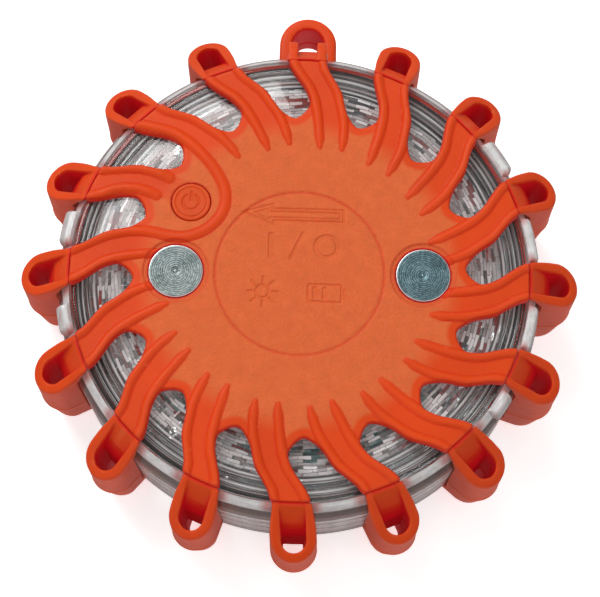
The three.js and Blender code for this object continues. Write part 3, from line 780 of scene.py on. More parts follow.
def clear(name, tint=(0.985, 0.99, 0.99), rough=0.03, ior=1.47, ripple=0.06, shadow=0.97, rim=False, streaks=False):
    """Clear moulded polycarbonate: glass with faint flow ripple. Light that only passes through is let through."""
    m = Mat(name)
    rip = m.noise(90, 2, 0.5)
    scr = m.noise(900, 3, 0.6)
    r = m.remap(scr, "Fac", 0.35, 0.75, rough * 0.5, rough * 1.8)
    m.link(r, "Result", m.b, "Roughness")
    b = m.bump(rip, "Fac", ripple, 0.0006)
    m.link(b, "Normal", m.b, "Normal")
    m.set(Base_Color=(*tint, 1), Transmission_Weight=1.0, Specular_IOR_Level=0.5)
    m.b.inputs["IOR"].default_value = ior
    if rim:
        # the wall's light is painted: a painted white sheen, bright on the top edge and the lugs and fainter between
        # the grooves, and clear with painted dark shade in them
        xyz = m.n("ShaderNodeSeparateXYZ")
        m.link(m.co, "Object", xyz, "Vector")
        h = m.remap(xyz, "Z", 0.0, 0.032, 0.0, 1.0)
        q = lambda z: z / 32.0
        stops = [(0.0, 0.5), (14.6, 0.72), (14.8, 0.05), (15.1, 0.05), (15.3, 0.74), (24.0, 0.8), (24.35, 0.0), (25.2, 0.0), (25.5, 0.3), (26.2, 0.26), (26.5, 0.06), (27.7, 0.08), (28.0, 0.82), (31.0, 0.92)]
        painted_sheen_ramp = m.ramp(h, [(q(z), (g, g, g)) for z, g in stops], out="Result")
        cloud = m.noise(700, 4, 0.65)
        streak = m.rings(900, 14, 3, 0.6)
        patch = m.remap(cloud, "Fac", 0.3, 0.7, 0.8, 1.0)
        band = m.remap(streak, "Fac", 0.38, 0.62, 0.76, 1.0)
        far, way = m.polar()
        wall = m.remap(far[0], far[1], 0.0438, 0.0440, 0.0, 1.0)
        # painted red reflection: the rubber of each loop is painted in red on the rim beside it
        xy = m.n("ShaderNodeSeparateXYZ")
        m.link(way, "Vector", xy, "Vector")
        turn = m.math("ARCTAN2", (xy, "Y"), (xy, "X"))
        swing = m.math("COSINE", (m.math("MULTIPLY", (turn, 0), 16.0), 0))
        beside = m.remap(swing, 0, -0.62, -0.12, 0.0, 1.0)
        upper = m.remap(xyz, "Z", 0.0250, 0.0256, 0.0, 0.6)
        painted_red_reflection = m.math("MULTIPLY", (beside, "Result"), (upper, "Result"))
        plain_rim = m.remap(far[0], far[1], 0.0450, 0.0454, 1.0, 0.0)
        painted_red_reflection = m.math("MULTIPLY", (painted_red_reflection, 0), (plain_rim, "Result"))
        painted_white_sheen = m.math("MULTIPLY", (painted_sheen_ramp, "Color"), (patch, "Result"))
        painted_white_sheen = m.math("MULTIPLY", (painted_white_sheen, 0), (wall, "Result"))
        lug = m.remap(far[0], far[1], 0.0450, 0.0458, 1.0, 0.55)
        top = m.remap(xyz, "Z", 0.0276, 0.0280, 0.0, 1.0)
        glassy = m.n("ShaderNodeMix", data_type="FLOAT")
        glassy.inputs[2].default_value = 1.0
        m.t.links.new(top.outputs["Result"], glassy.inputs[0])
        m.t.links.new(lug.outputs["Result"], glassy.inputs[3])
        painted_white_sheen = m.math("MULTIPLY", (painted_white_sheen, 0), (glassy, 0))
        painted_white_sheen = m.math("MULTIPLY", (painted_white_sheen, 0), (band, "Result"))
        painted_white_sheen = m.math("MAXIMUM", (painted_white_sheen, 0), (painted_red_reflection, 0))
        tw = m.remap(painted_white_sheen, 0, 0.0, 1.0, 1.0, 0.0)
        m.link(tw, "Result", m.b, "Transmission Weight")
        rr = m.remap(painted_white_sheen, 0, 0.0, 0.8, rough, 0.16)
        m.link(rr, "Result", m.b, "Roughness")
        # painted shade bands on the wall: a darker line at the groove, a near-black line lower down and a brown band
        # above it, tinted by a painted reflection of the orange rubber
        dark = [(0.0, 1.0), (14.6, 1.0), (14.8, 0.3), (15.1, 0.3), (15.3, 1.0), (24.1, 1.0), (24.4, 0.05), (25.1, 0.05), (25.4, 0.8), (26.2, 0.7), (26.5, 0.35), (27.7, 0.35), (28.0, 1.0), (31.0, 1.0)]
        painted_warm_reflection = lambda z, g: (g, 0.66 * g, 0.56 * g) if 25.3 < z < 27.8 else (g, g, g)
        shade = m.ramp(h, [(q(z), painted_warm_reflection(z, g)) for z, g in dark], out="Result")
        shade = m.mix((wall, "Result"), (1.0, 1.0, 1.0), (shade, "Color"))
        col = m.mix(1.0, (shade, 2), tint, "MULTIPLY")
        col = m.mix((painted_red_reflection, 0), (col, 2), (0.60, 0.035, 0.015))
        m.link(col, 2, m.b, "Base Color")
    if streaks:
        # courses of little prisms moulded under the plate, each one painted clear, with a painted white sheen, with
        # painted dark shade or with a painted red reflection of the rubber round it
        far, way = m.polar()
        xy = m.n("ShaderNodeSeparateXYZ")
        m.link(way, "Vector", xy, "Vector")
        turn = m.math("ARCTAN2", (xy, "Y"), (xy, "X"))
        along = m.math("MULTIPLY", (turn, 0), 36.0)
        wob = m.rings(420, 7, 2, 0.5, shift=5.0)
        across = m.math("MULTIPLY_ADD", far, 1000.0)
        wv = m.remap(wob, "Fac", 0.3, 0.7, -0.22, 0.22)
        m.link(wv, "Result", across, 2)
        cell = m.n("ShaderNodeCombineXYZ")
        m.link(along, 0, cell, "X")
        m.link(across, 0, cell, "Y")
        br = m.n("ShaderNodeTexBrick", offset=0.37, offset_frequency=2)
        for key, val in (("Scale", 1.0), ("Mortar Size", 0.055), ("Mortar Smooth", 0.3), ("Brick Width", 2.6), ("Row Height", 0.62), ("Bias", 0.0)):
            br.inputs[key].default_value = val
        br.inputs["Color1"].default_value = (0, 0, 0, 1)
        br.inputs["Color2"].default_value = (1, 1, 1, 1)
        br.inputs["Mortar"].default_value = (0.1, 0.1, 0.1, 1)
        m.link(cell, 0, br, "Vector")
        xyz = m.n("ShaderNodeSeparateXYZ")
        m.link(m.co, "Object", xyz, "Vector")
        under = m.remap(xyz, "Z", 0.0286, 0.0288, 1.0, 0.0)
        zone = m.remap(far[0], far[1], 0.0285, 0.0300, 0.0, 1.0)
        zone = m.math("MULTIPLY", (zone, "Result"), (under, "Result"))
        g = lambda v: (v, v, v)
        painted_sheen_ramp = m.ramp(br, [(0.0, g(0.06)), (0.20, g(0.07)), (0.22, g(0.38)), (0.44, g(0.34)), (0.46, g(0.84)), (0.66, g(0.74)), (0.68, g(0.12)), (0.80, g(0.16)), (0.82, g(0.54)), (1.0, g(0.6))], out="Color")
        hue = m.ramp(br, [(0.0, (0.20, 0.25, 0.27)), (0.08, (0.34, 0.40, 0.41)), (0.10, tint), (0.68, tint), (0.70, (0.66, 0.16, 0.15)), (0.79, (0.62, 0.11, 0.11)), (0.81, tint), (1.0, tint)], out="Color")
        # nearer the rim the prisms run all the way round as rings, painted as bands of white sheen and dark shade, with
        # a painted red reflection of the rubber at the very edge
        mm = m.remap(far[0], far[1], 0.0, 0.050, 0.0, 1.0)
        rq = lambda r: r / 50.0
        edge = [(38.4, 0.1), (38.6, 0.04), (38.85, 0.04), (38.95, 0.55), (39.4, 0.5), (39.5, 0.02), (39.85, 0.02), (39.95, 0.30), (40.6, 0.26), (40.7, 0.0), (41.15, 0.0), (41.25, 0.62), (41.7, 0.6), (41.8, 0.05), (42.0, 0.05), (42.1, 0.25), (42.5, 0.3), (42.6, 0.5), (43.2, 0.5), (43.3, 0.66), (43.8, 0.66)]
        shades = [(38.4, (1, 1, 1)), (38.6, (0.12, 0.14, 0.15)), (38.85, (0.12, 0.14, 0.15)), (38.95, (1, 1, 1)), (39.4, (1, 1, 1)), (39.5, (0.07, 0.10, 0.11)), (39.85, (0.07, 0.10, 0.11)), (39.95, (0.72, 0.84, 0.86)), (40.6, (0.72, 0.84, 0.86)), (40.7, (0.03, 0.05, 0.055)), (41.15, (0.03, 0.05, 0.055)), (41.25, (1, 1, 1)), (41.7, (1, 1, 1)), (41.8, (0.2, 0.2, 0.2)), (42.0, (0.2, 0.2, 0.2)), (42.1, (0.88, 0.76, 0.74)), (42.5, (0.88, 0.76, 0.74)), (42.6, (0.02, 0.025, 0.025)), (43.2, (0.02, 0.025, 0.025)), (43.3, (0.62, 0.04, 0.02)), (43.8, (0.62, 0.04, 0.02))]
        edge_sheen_ramp = m.ramp(mm, [(rq(r), g(v)) for r, v in edge], out="Result")
        e_hue = m.ramp(mm, [(rq(r), c) for r, c in shades], out="Result")
        near = m.remap(far[0], far[1], 0.0384, 0.0386, 0.0, 1.0)
        painted_sheen_ramp = m.mix((near, "Result"), (painted_sheen_ramp, "Color"), (edge_sheen_ramp, "Color"))
        hue = m.mix((near, "Result"), (hue, "Color"), (e_hue, "Color"))
        painted_sheen_ramp = m.math("MULTIPLY", (painted_sheen_ramp, 2), (zone, 0))
        tw = m.remap(painted_sheen_ramp, 0, 0.0, 1.0, 1.0, 0.0)
        m.link(tw, "Result", m.b, "Transmission Weight")
        rr = m.remap(painted_sheen_ramp, 0, 0.0, 0.6, rough, 0.1)
        m.link(rr, "Result", m.b, "Roughness")
        k1 = m.mix((zone, 0), tint, (hue, 2))
        # painted shade: darker lines between the prisms inside the rings
        far_in = m.remap(far[0], far[1], 0.0384, 0.0386, 0.55, 0.0)
        prism_line_shade = m.math("MULTIPLY", (br, "Fac"), (zone, 0))
        prism_line_shade = m.math("MULTIPLY", (prism_line_shade, 0), (far_in, "Result"))
        k2 = m.mix((prism_line_shade, 0), (k1, 2), (0.10, 0.11, 0.12))
        m.link(k2, 2, m.b, "Base Color")
    lp = m.n("ShaderNodeLightPath")
    tr = m.n("ShaderNodeBsdfTransparent")
    tr.inputs["Color"].default_value = (*[c * shadow for c in tint], 1)
    mx = m.n("ShaderNodeMixShader")
    fac = m.math("MAXIMUM", (lp, "Is Shadow Ray"), (lp, "Is Diffuse Ray"))
    m.t.links.new(fac.outputs[0], mx.inputs[0])
    m.t.links.new(m.b.outputs[0], mx.inputs[1])
    m.t.links.new(tr.outputs[0], mx.inputs[2])
    m.t.links.new(mx.outputs[0], m.out.inputs["Surface"])
    return m.done()


def metal(name, base, rough=0.3, scale=600, wear=0.15, aniso=None, bump=0.05):
    m = Mat(name)
    nz = m.noise(scale, 4, 0.6)
    c = m.ramp(nz, [(0.3, tuple(c * (1 - wear) for c in base)), (0.7, base)])
    m.link(c, "Color", m.b, "Base Color")
    r = m.remap(nz, "Fac", 0.3, 0.7, rough * 0.8, rough * 1.35)
    m.link(r, "Result", m.b, "Roughness")
    b = m.bump(nz, "Fac", bump, 0.00005)
    m.link(b, "Normal", m.b, "Normal")
    m.set(Metallic=1.0)
    return m.done()


def magnet_metal(name, centre, painted_light_tint=(1.0, 1.0, 1.0)):
    """Zinc-plated magnet face: fine turned rings round its centre, cloudy plating, a few dull spots."""
    m = Mat(name)
    mp = m.mapping(loc=(-centre[0] * MM, -centre[1] * MM, 0))
    flat = m.n("ShaderNodeVectorMath", operation="MULTIPLY")
    flat.inputs[1].default_value = (1, 1, 0)
    m.link(mp, 0, flat, 0)
    far = m.n("ShaderNodeVectorMath", operation="LENGTH")
    m.link(flat, 0, far, 0)
    wave = m.n("ShaderNodeTexWave", wave_type="RINGS", rings_direction="Z")
    wave.inputs["Scale"].default_value = 760
    wave.inputs["Distortion"].default_value = 1.6
    wave.inputs["Detail"].default_value = 2.0
    wave.inputs["Detail Scale"].default_value = 2.0
    m.link(mp, 0, wave, "Vector")
    cloud = m.noise(330, 5, 0.65)
    spots = m.noise(2300, 3, 0.7)
    base = m.ramp(cloud, [(0.28, (0.135, 0.17, 0.17)), (0.5, (0.21, 0.25, 0.25)), (0.72, (0.32, 0.36, 0.355))])
    groove = m.remap(wave, "Fac", 0.0, 1.0, 0.62, 1.45)
    grit = m.remap(spots, "Fac", 0.3, 0.7, 0.45, 1.6)
    lines = m.math("MULTIPLY", (groove, "Result"), (grit, "Result"))
    c = m.mix(1.0, (base, "Color"), (lines, 0), "MULTIPLY")
    glint = m.remap(spots, "Fac", 0.66, 0.74, 0.0, 0.55)
    c = m.mix((glint, "Result"), (c, 2), (0.86, 0.88, 0.88))
    # a painted light tint: the same plating is shaded darker and bluer on one magnet
    c = m.mix(1.0, (c, 2), painted_light_tint, "MULTIPLY")
    # the chamfer is painted bright: a painted highlight on its edge
    rim = m.remap(far, "Value", 0.00495, 0.00502, 0.0, 0.9)
    c = m.mix((rim, "Result"), (c, 2), (0.92, 0.90, 0.90))
    m.link(c, 2, m.b, "Base Color")
    r = m.remap(cloud, "Fac", 0.3, 0.75, 0.30, 0.5)
    m.link(r, "Result", m.b, "Roughness")
    b1 = m.bump(wave, "Fac", 0.2, 0.00006)
    b2 = m.bump(spots, "Fac", 0.3, 0.00008, b1)
    m.link(b2, "Normal", m.b, "Normal")
    m.set(Metallic=0.92)
    return m.done()


ORANGE = rubber("orange_rubber", (0.77, 0.066, 0.006), (0.75, 0.142, 0.037))
BUTTON_ORANGE = rubber("button_rubber", (0.76, 0.085, 0.012), (0.76, 0.125, 0.03), rough=0.45, grain=0.6, masked=False)
CLEAR_LID = clear("clear_lid", streaks=True, rough=0.02)
CLEAR_RIM = clear("clear_housing", rim=True, tint=(0.97, 0.975, 0.97))
CLEAR_LENS = clear("clear_lens", ripple=0.08, rough=0.015)
SILVER = metal("metallised_plastic", (0.97, 0.975, 0.975), rough=0.07, scale=300, wear=0.03, bump=0.1)
[n for n in SILVER.node_tree.nodes if n.type == "BSDF_PRINCIPLED"][0].inputs["Metallic"].default_value = 0.8
STEEL = metal("nickel_strip", (0.72, 0.72, 0.70), rough=0.25, scale=800)
ZINC = metal("zinc_screw", (0.66, 0.67, 0.66), rough=0.3, scale=900, wear=0.25)
CELL_CAN = metal("cell_can", (0.78, 0.78, 0.77), rough=0.2, scale=500)


def plain(name, base, rough, scale=1200, spread=0.15, bump=0.12, distance=0.00005, spec=0.5, metallic=0.0, coat=0.0):
    m = Mat(name)
    nz = m.noise(scale, 3, 0.6)
    lo = tuple(c * (1 - spread) for c in base)
    hi = tuple(min(1, c * (1 + spread) + 0.004) for c in base)
    c = m.ramp(nz, [(0.3, lo), (0.7, hi)])
    m.link(c, "Color", m.b, "Base Color")
    r = m.remap(nz, "Fac", 0.3, 0.7, max(0.02, rough - 0.06), rough + 0.08)
    m.link(r, "Result", m.b, "Roughness")
    b = m.bump(nz, "Fac", bump, distance)
    m.link(b, "Normal", m.b, "Normal")
    m.set(Specular_IOR_Level=spec, Metallic=metallic, Coat_Weight=coat)
    return m.done()


SEAL = plain("seal_rubber", (0.012, 0.012, 0.014), 0.38, 700, 0.2, 0.1)
BLACK = plain("black_plastic", (0.016, 0.017, 0.018), 0.45, 1400, 0.2, 0.25)
CHIP = plain("chip_epoxy", (0.02, 0.02, 0.022), 0.55, 1600, 0.3, 0.3)
COPPER_TIN = metal("tinned_pad", (0.80, 0.80, 0.78), rough=0.28, scale=900, wear=0.1)
WRAP = plain("cell_wrap", (0.03, 0.085, 0.20), 0.25, 300, 0.08, 0.04, coat=0.4)
WRAP_BAND = plain("cell_band", (0.62, 0.63, 0.64), 0.28, 300, 0.05, 0.04, coat=0.4)


def led_epoxy(name):
    m = Mat(name)
    nz = m.noise(500, 2, 0.5)
    r = m.remap(nz, "Fac", 0.3, 0.7, 0.03, 0.09)
    m.link(r, "Result", m.b, "Roughness")
    m.set(Base_Color=(0.97, 0.99, 0.985, 1), Transmission_Weight=1.0)
    m.b.inputs["IOR"].default_value = 1.5
    lp = m.n("ShaderNodeLightPath")
    tr = m.n("ShaderNodeBsdfTransparent")
    tr.inputs["Color"].default_value = (0.85, 0.88, 0.88, 1)
    mx = m.n("ShaderNodeMixShader")
    fac = m.math("MAXIMUM", (lp, "Is Shadow Ray"), (lp, "Is Diffuse Ray"))
    m.t.links.new(fac.outputs[0], mx.inputs[0])
    m.t.links.new(m.b.outputs[0], mx.inputs[1])
    m.t.links.new(tr.outputs[0], mx.inputs[2])
    m.t.links.new(mx.outputs[0], m.out.inputs["Surface"])
    return m.done()


LED_CLEAR = led_epoxy("led_epoxy")


def board_mask(name):
    """Teal solder mask over copper: traces show as slightly paler bands."""
    m = Mat(name)
    mp = m.mapping(scale=(1, 1, 1))
    br = m.n("ShaderNodeTexBrick")
    br.inputs["Scale"].default_value = 260
    br.inputs["Mortar Size"].default_value = 0.09
    br.inputs["Mortar Smooth"].default_value = 0.2
    br.inputs["Brick Width"].default_value = 1.9
    br.inputs["Row Height"].default_value = 0.34
    br.inputs["Color1"].default_value = (0.07, 0.36, 0.37, 1)
    br.inputs["Color2"].default_value = (0.10, 0.44, 0.45, 1)
    br.inputs["Mortar"].default_value = (0.16, 0.50, 0.47, 1)
    m.link(mp, 0, br, "Vector")
    nz = m.noise(420, 3, 0.6)
    c = m.mix((m.remap(nz, "Fac", 0.3, 0.7, 0.0, 0.45), "Result"), (br, "Color"), (0.03, 0.22, 0.21))
    # a pale printed ring under the lamps leaves the mask bare in one patch at each of them
    far, way = m.polar()
    xy = m.n("ShaderNodeSeparateXYZ")
    m.link(way, "Vector", xy, "Vector")
    turn = m.math("ARCTAN2", (xy, "Y"), (xy, "X"))
    turn = m.math("MULTIPLY_ADD", (turn, 0), 16.0)
    turn.inputs[2].default_value = -1.1
    turn = m.math("COSINE", (turn, 0))
    gap = m.remap(turn, 0, 0.0, 0.12, 1.0, 0.0)
    ring = m.remap(far[0], far[1], 0.0245, 0.0250, 0.0, 1.0)
    bare = m.remap(far[0], far[1], 0.0292, 0.0295, 1.0, 0.0)
    pale = m.math("MAXIMUM", (gap, "Result"), (bare, "Result"))
    pale = m.math("MULTIPLY", (pale, 0), (ring, "Result"))
    grime = m.rings(1500, 30, 3, 0.6, shift=11.0)
    white = m.ramp(grime, [(0.35, (0.42, 0.44, 0.44)), (0.62, (0.80, 0.82, 0.81))])
    c = m.mix((pale, 0), (c, 2), (white, "Color"))
    m.link(c, 2, m.b, "Base Color")
    b = m.bump(br, "Fac", 0.18, 0.00006)
    m.link(b, "Normal", m.b, "Normal")
    m.set(Roughness=0.32, Coat_Weight=0.3, Coat_Roughness=0.2)
    return m.done()


BOARD = board_mask("solder_mask")


# ------------------------------------------------------------------ rear cover

MAGNETS = {"magnet_right": (23.5 * math.cos(math.radians(1)), 23.5 * math.sin(math.radians(1)))}
MAGNETS["magnet_left"] = (-MAGNETS["magnet_right"][0], -MAGNETS["magnet_right"][1])
BUTTON = (-21.28, 13.42)
R_REAR = 43.78


def rounded_rect(cx, cy, w, h, r):
    pts = []
    for sx, sy, a0 in ((1, 1, 0), (-1, 1, 90), (-1, -1, 180), (1, -1, 270)):
        for a in np.linspace(a0, a0 + 90, 6):
            pts.append((cx + sx * (w / 2 - r) + r * math.cos(math.radians(a)), cy + sy * (h / 2 - r) + r * math.sin(math.radians(a))))
    return np.array(pts)


def arc(cx, cy, r, a0, a1, n=32):
    a = np.radians(np.linspace(a0, a1, n))
    return np.stack([cx + r * np.cos(a), cy + r * np.sin(a)], 1)


def closed_line(pts):
    pts = np.asarray(pts, dtype=float)
    return np.concatenate([pts, pts[:1]])


def engraving():
    """Engraved marks on the centre of the rear cover, as (line, half width, depth): an arrow that shows the way to turn the lid off, an on/off pictogram, a sun and a cell."""
    marks = []
    # arrow, an outline inside an outline
    outer = [(-11.2, 11.8), (-5.4, 13.6), (-5.6, 12.65), (8.0, 12.75), (8.1, 10.35), (-5.3, 10.25), (-5.0, 9.3)]
    inner = [(-9.0, 11.75), (-6.3, 12.6), (-6.35, 12.05), (7.35, 12.1), (7.4, 10.95), (-6.1, 10.9), (-6.05, 10.35)]
    marks.append((closed_line(outer), 0.21, 0.24))
    marks.append((closed_line(inner), 0.16, 0.20))
    # on/off: an upright bar, a slash and a ring
    marks.append((np.array([(-5.6, 3.2), (-5.6, 7.4)]), 0.5, 0.26))
    marks.append((np.array([(-1.9, 2.7), (0.4, 7.9)]), 0.28, 0.26))
    marks.append((closed_line(arc(5.0, 5.3, 2.1, 0, 352, 60)), 0.42, 0.26))
    # a sun: a ring and eight rays
    sx, sy = -6.9, -3.9
    marks.append((closed_line(arc(sx, sy, 1.25, 0, 352, 44)), 0.22, 0.24))
    for k in range(8):
        c, s = math.cos(k * math.pi / 4), math.sin(k * math.pi / 4)
        marks.append((np.array([(sx + 1.9 * c, sy + 1.9 * s), (sx + 2.9 * c, sy + 2.9 * s)]), 0.2, 0.24))
    # a cell on its side: a case, a nub and two level bars
    bx, by = 4.9, -3.9
    marks.append((closed_line(rounded_rect(bx, by, 6.4, 3.4, 0.45)), 0.2, 0.24))
    marks.append((np.array([(bx + 3.75, by - 0.7), (bx + 3.75, by + 0.7)]), 0.3, 0.24))
    for dx in (-1.9, 0.0):
        marks.append((np.array([(bx + dx, by - 0.85), (bx + dx, by + 0.85)]), 0.45, 0.24))
    return marks


MARKS = engraving()
REAR_LINES = ridge_lines(True)


def rear_plan(x, y):
    """Signed distance to the rear cover's edge, negative on the cover."""
    r = np.hypot(x, y)
    a = np.degrees(np.arctan2(y, x))
    f = smax(r - R_REAR, window_depth(r, a), 0.7)
    for mx, my in MAGNETS.values():
        f = np.maximum(f, 5.28 - np.hypot(x - mx, y - my))
    return np.maximum(f, 3.86 - np.hypot(x - BUTTON[0], y - BUTTON[1]))


def rear_top(x, y, depth):
    r = np.hypot(x, y)
    a = np.degrees(np.arctan2(y, x))
    outer = -smax(r - R_REAR, window_depth(r, a), 0.7)
    h = 31.5 - 0.22 * step01((r - 26.5) / 6.0)
    ridge = ridge_height(x, y, REAR_LINES)
    h = h + (31.93 - h) * ridge
    # the centre is a very shallow step with a fine line round it
    h = h - 0.07 * step01((16.35 - r) / 0.35) - 0.20 * np.exp(-(((r - 16.1) / 0.24) ** 2))
    near = (np.abs(x) < 13) & (np.abs(y) < 15)
    if near.any():
        P = np.stack([x[near], y[near]], 1)
        cut = np.zeros(len(P))
        for line, w, d in MARKS:
            lo, hi = line.min(0) - 1, line.max(0) + 1
            m = (P[:, 0] > lo[0]) & (P[:, 0] < hi[0]) & (P[:, 1] > lo[1]) & (P[:, 1] < hi[1])
            if m.any():
                dist, _ = line_distance(P[m], line)
                cut[m] = np.maximum(cut[m], d * (1 - step01((dist - w + 0.09) / 0.18)))
        h[near] -= cut
    # edges: a small round along the windows and the rim, countersinks round the magnets
    h = h - edge_round(outer, 0.55)
    for mx, my in MAGNETS.values():
        q = np.hypot(x - mx, y - my)
        h = h - 0.42 * step01((6.4 - q) / 0.4) - edge_round(q - 5.28, 0.2)
    q = np.hypot(x - BUTTON[0], y - BUTTON[1])
    h = h - edge_round(q - 3.86, 0.24)
    return h


def arm_mask(x, y, lines):
    """1 on the smooth moulded parts (arms, ridges and window borders), 0 on the grained plateau."""
    r = np.hypot(x, y)
    a = np.degrees(np.arctan2(y, x))
    m = np.clip(2.4 * ridge_height(x, y, lines, 1.3), 0, 1)
    P = np.stack([x, y], 1)
    strip = np.concatenate([catmull(polar(RIDGE_A), 0.6), catmull(polar(RIDGE_B), 0.6)[::-1]])
    for k in range(16):
        L = turned(np.column_stack([strip, np.zeros(len(strip))]), k * PITCH)[:, :2]
        lo, hi = L.min(0) - 1, L.max(0) + 1
        near = np.nonzero((P[:, 0] > lo[0]) & (P[:, 0] < hi[0]) & (P[:, 1] > lo[1]) & (P[:, 1] < hi[1]))[0]
        if len(near):
            d, _ = line_distance(P[near], L, closed=True)
            s = np.where(inside(P[near], L), -d, d)
            fade = step01((np.hypot(P[near, 0], P[near, 1]) - 26.5) / 5.5)
            m[near] = np.maximum(m[near], step01((0.5 - s) / 0.8) * fade)
    m = np.maximum(m, step01((2.2 + window_depth(r, a)) / 0.9))
    return np.maximum(m, step01((r - 36.0) / 4.0))


def paint(ob, name, values):
    layer = ob.data.attributes.new(name, "FLOAT", "POINT")
    layer.data.foreach_set("value", np.asarray(values, dtype=np.float32))


def axis_lines(fine_lo, fine_hi, fine, coarse, reach):
    a = np.arange(fine_lo, fine_hi + 1e-9, fine)
    n = int(math.ceil((reach - fine_hi) / coarse))
    b = fine_hi + (reach - fine_hi) * np.arange(1, n + 1) / n
    n = int(math.ceil((reach + fine_lo) / coarse))
    c = fine_lo - (reach + fine_lo) * np.arange(n, 0, -1) / n
    return np.concatenate([c, a, b])


FINE, COARSE = ((0.13, 0.24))
rc_x = axis_lines(-12.5, 10.5, FINE, COARSE, 43.9)
rc_y = axis_lines(-7.5, 14.5, FINE, COARSE, 43.9)
V, F = height_solid(rc_x, rc_y, rear_plan, rear_top, lambda x, y, d: np.full(x.shape, 29.9))
rear_cover = make("rear_cover_skin", V, F, ORANGE, "rear_half", ["rear_cover"], sharp=42)
half_n = len(V) // 2
mask = np.ones(len(V))
mask[:half_n] = arm_mask(V[:half_n, 0], V[:half_n, 1], REAR_LINES)
paint(rear_cover, "smooth_skin", mask)
X, Y, Z = V[:, 0], V[:, 1], V[:, 2]
R = np.hypot(X, Y)
top_side = np.arange(len(V)) < half_n
edge_in = smax(R - R_REAR, window_depth(R, np.degrees(np.arctan2(Y, X))), 0.7)
# painted red shade, low on the cut edges and in a thin outline along the top edges of the arms, windows and rim
painted_red_shade = 0.9 * step01((30.95 - Z) / 0.6) * (rear_plan(X, Y) > -0.5)
painted_red_shade = np.maximum(painted_red_shade, 0.55 * step01((edge_in + 0.42) / 0.34) * top_side)
# painted shade in creases: along the feet of the ridges, round the centre, and in the sinks of the magnets and the
# button
foot = np.zeros(len(V))
foot[top_side] = np.clip(3 * ridge_height(X[top_side], Y[top_side], REAR_LINES, 1.26), 0, 1) * (1 - np.clip(5 * ridge_height(X[top_side], Y[top_side], REAR_LINES, 1.0), 0, 1))
painted_red_shade = np.maximum(painted_red_shade, 0.42 * foot)
painted_red_shade = np.maximum(painted_red_shade, 0.38 * np.exp(-(((R - 16.1) / 0.26) ** 2)) * top_side)
for mx, my in MAGNETS.values():
    q = np.hypot(X - mx, Y - my)
    painted_red_shade = np.maximum(painted_red_shade, (0.85 * step01((5.62 - q) / 0.3) + 0.16 * step01((6.4 - q) / 0.3)) * (q < 6.6))
    painted_red_shade = np.maximum(painted_red_shade, 0.32 * np.exp(-(((q - 6.3) / 0.16) ** 2)) * top_side)
q = np.hypot(X - BUTTON[0], Y - BUTTON[1])
painted_red_shade = np.maximum(painted_red_shade, 0.7 * step01((4.12 - q) / 0.24) * (q < 4.4))
paint(rear_cover, "painted_red_shade", np.clip(painted_red_shade, 0, 1))

# ------------------------------------------------------------------ front cover: disc, loops and eye

FRONT_LINES = [(np.column_stack([L[:, 0], -L[:, 1]]), k) for L, k in ridge_lines(False)]
EYE_Y = 52.3
EYE_OUT, EYE_IN = 5.78, 3.3
HOLE_END = [50.7, 51.3, 52.2, 52.35]

# hollow for the clear housing, and the outside of the wall, as (r, z) polygons
HOLLOW = np.array([(-5, 1.8), (43.9, 1.8), (46.65, 6.3), (46.65, 26.3), (45.45, 28.4), (44.2, 30.1), (43.84, 30.3), (43.84, 40), (-5, 40)], dtype=float)
WEB = np.array([(-5, 0.5), (43.6, 0.5), (45.8, 2.3), (47.8, 5), (48.75, 12.3), (48.6, 23.2), (47.0, 27.4), (44.15, 31.2), (44.1, 40), (-5, 40)], dtype=float)


class Section:
    """The signed distance to an (r, z) polygon, negative inside, from a table."""

    def __init__(self, poly, lo=(38.0, -3.0), hi=(58.0, 36.0), step=0.1):
        self.lo, self.step = lo, step
        r = np.arange(lo[0], hi[0] + step, step)
        z = np.arange(lo[1], hi[1] + step, step)
        R, Z = np.meshgrid(r, z, indexing="ij")
        P = np.stack([R.ravel(), Z.ravel()], 1)
        d, _ = line_distance(P, poly, closed=True)
        self.t = np.where(inside(P, poly), -d, d).reshape(R.shape)

    def __call__(self, r, z):
        n, m = self.t.shape
        u = np.clip((r - self.lo[0]) / self.step, 0, n - 1.001)
        v = np.clip((z - self.lo[1]) / self.step, 0, m - 1.001)
        i, j = u.astype(int), v.astype(int)
        a, b = u - i, v - j
        t = self.t
        return (t[i, j] * (1 - a) + t[i + 1, j] * a) * (1 - b) + (t[i, j + 1] * (1 - a) + t[i + 1, j + 1] * a) * b


hollow_s = Section(HOLLOW)
web_s = Section(WEB)

# the ridges on the front face, as a polar table over one pitch
_FR = np.arange(24.0, 45.01, 0.12)
_FN = 120


def _front_table():
    th = np.arange(_FN) * PITCH / _FN
    R, T = np.meshgrid(_FR, th, indexing="ij")
    x, y = R * np.cos(np.radians(T)), R * np.sin(np.radians(T))
    return ridge_height(x, y, FRONT_LINES)


_FT = _front_table()


def front_ridge(r, deg):
    u = np.clip((r - _FR[0]) / 0.12, 0, len(_FR) - 1.001)
    v = np.mod(deg, PITCH) / PITCH * _FN
    i, j = u.astype(int), np.floor(v).astype(int) % _FN
    a, b = u - i, v - np.floor(v)
    j1 = (j + 1) % _FN
    t = (_FT[i, j] * (1 - a) + _FT[i + 1, j] * a) * (1 - b) + (_FT[i, j1] * (1 - a) + _FT[i + 1, j1] * a) * b
    return np.where(r < 24, 0, t)


def stadium(x, y, x0, x1, half):
    """Signed distance to a shape of that half width from x0, with a round end reaching x1."""
    cx = np.clip(x, x0, x1 - half)
    return np.hypot(x - cx, y) - half


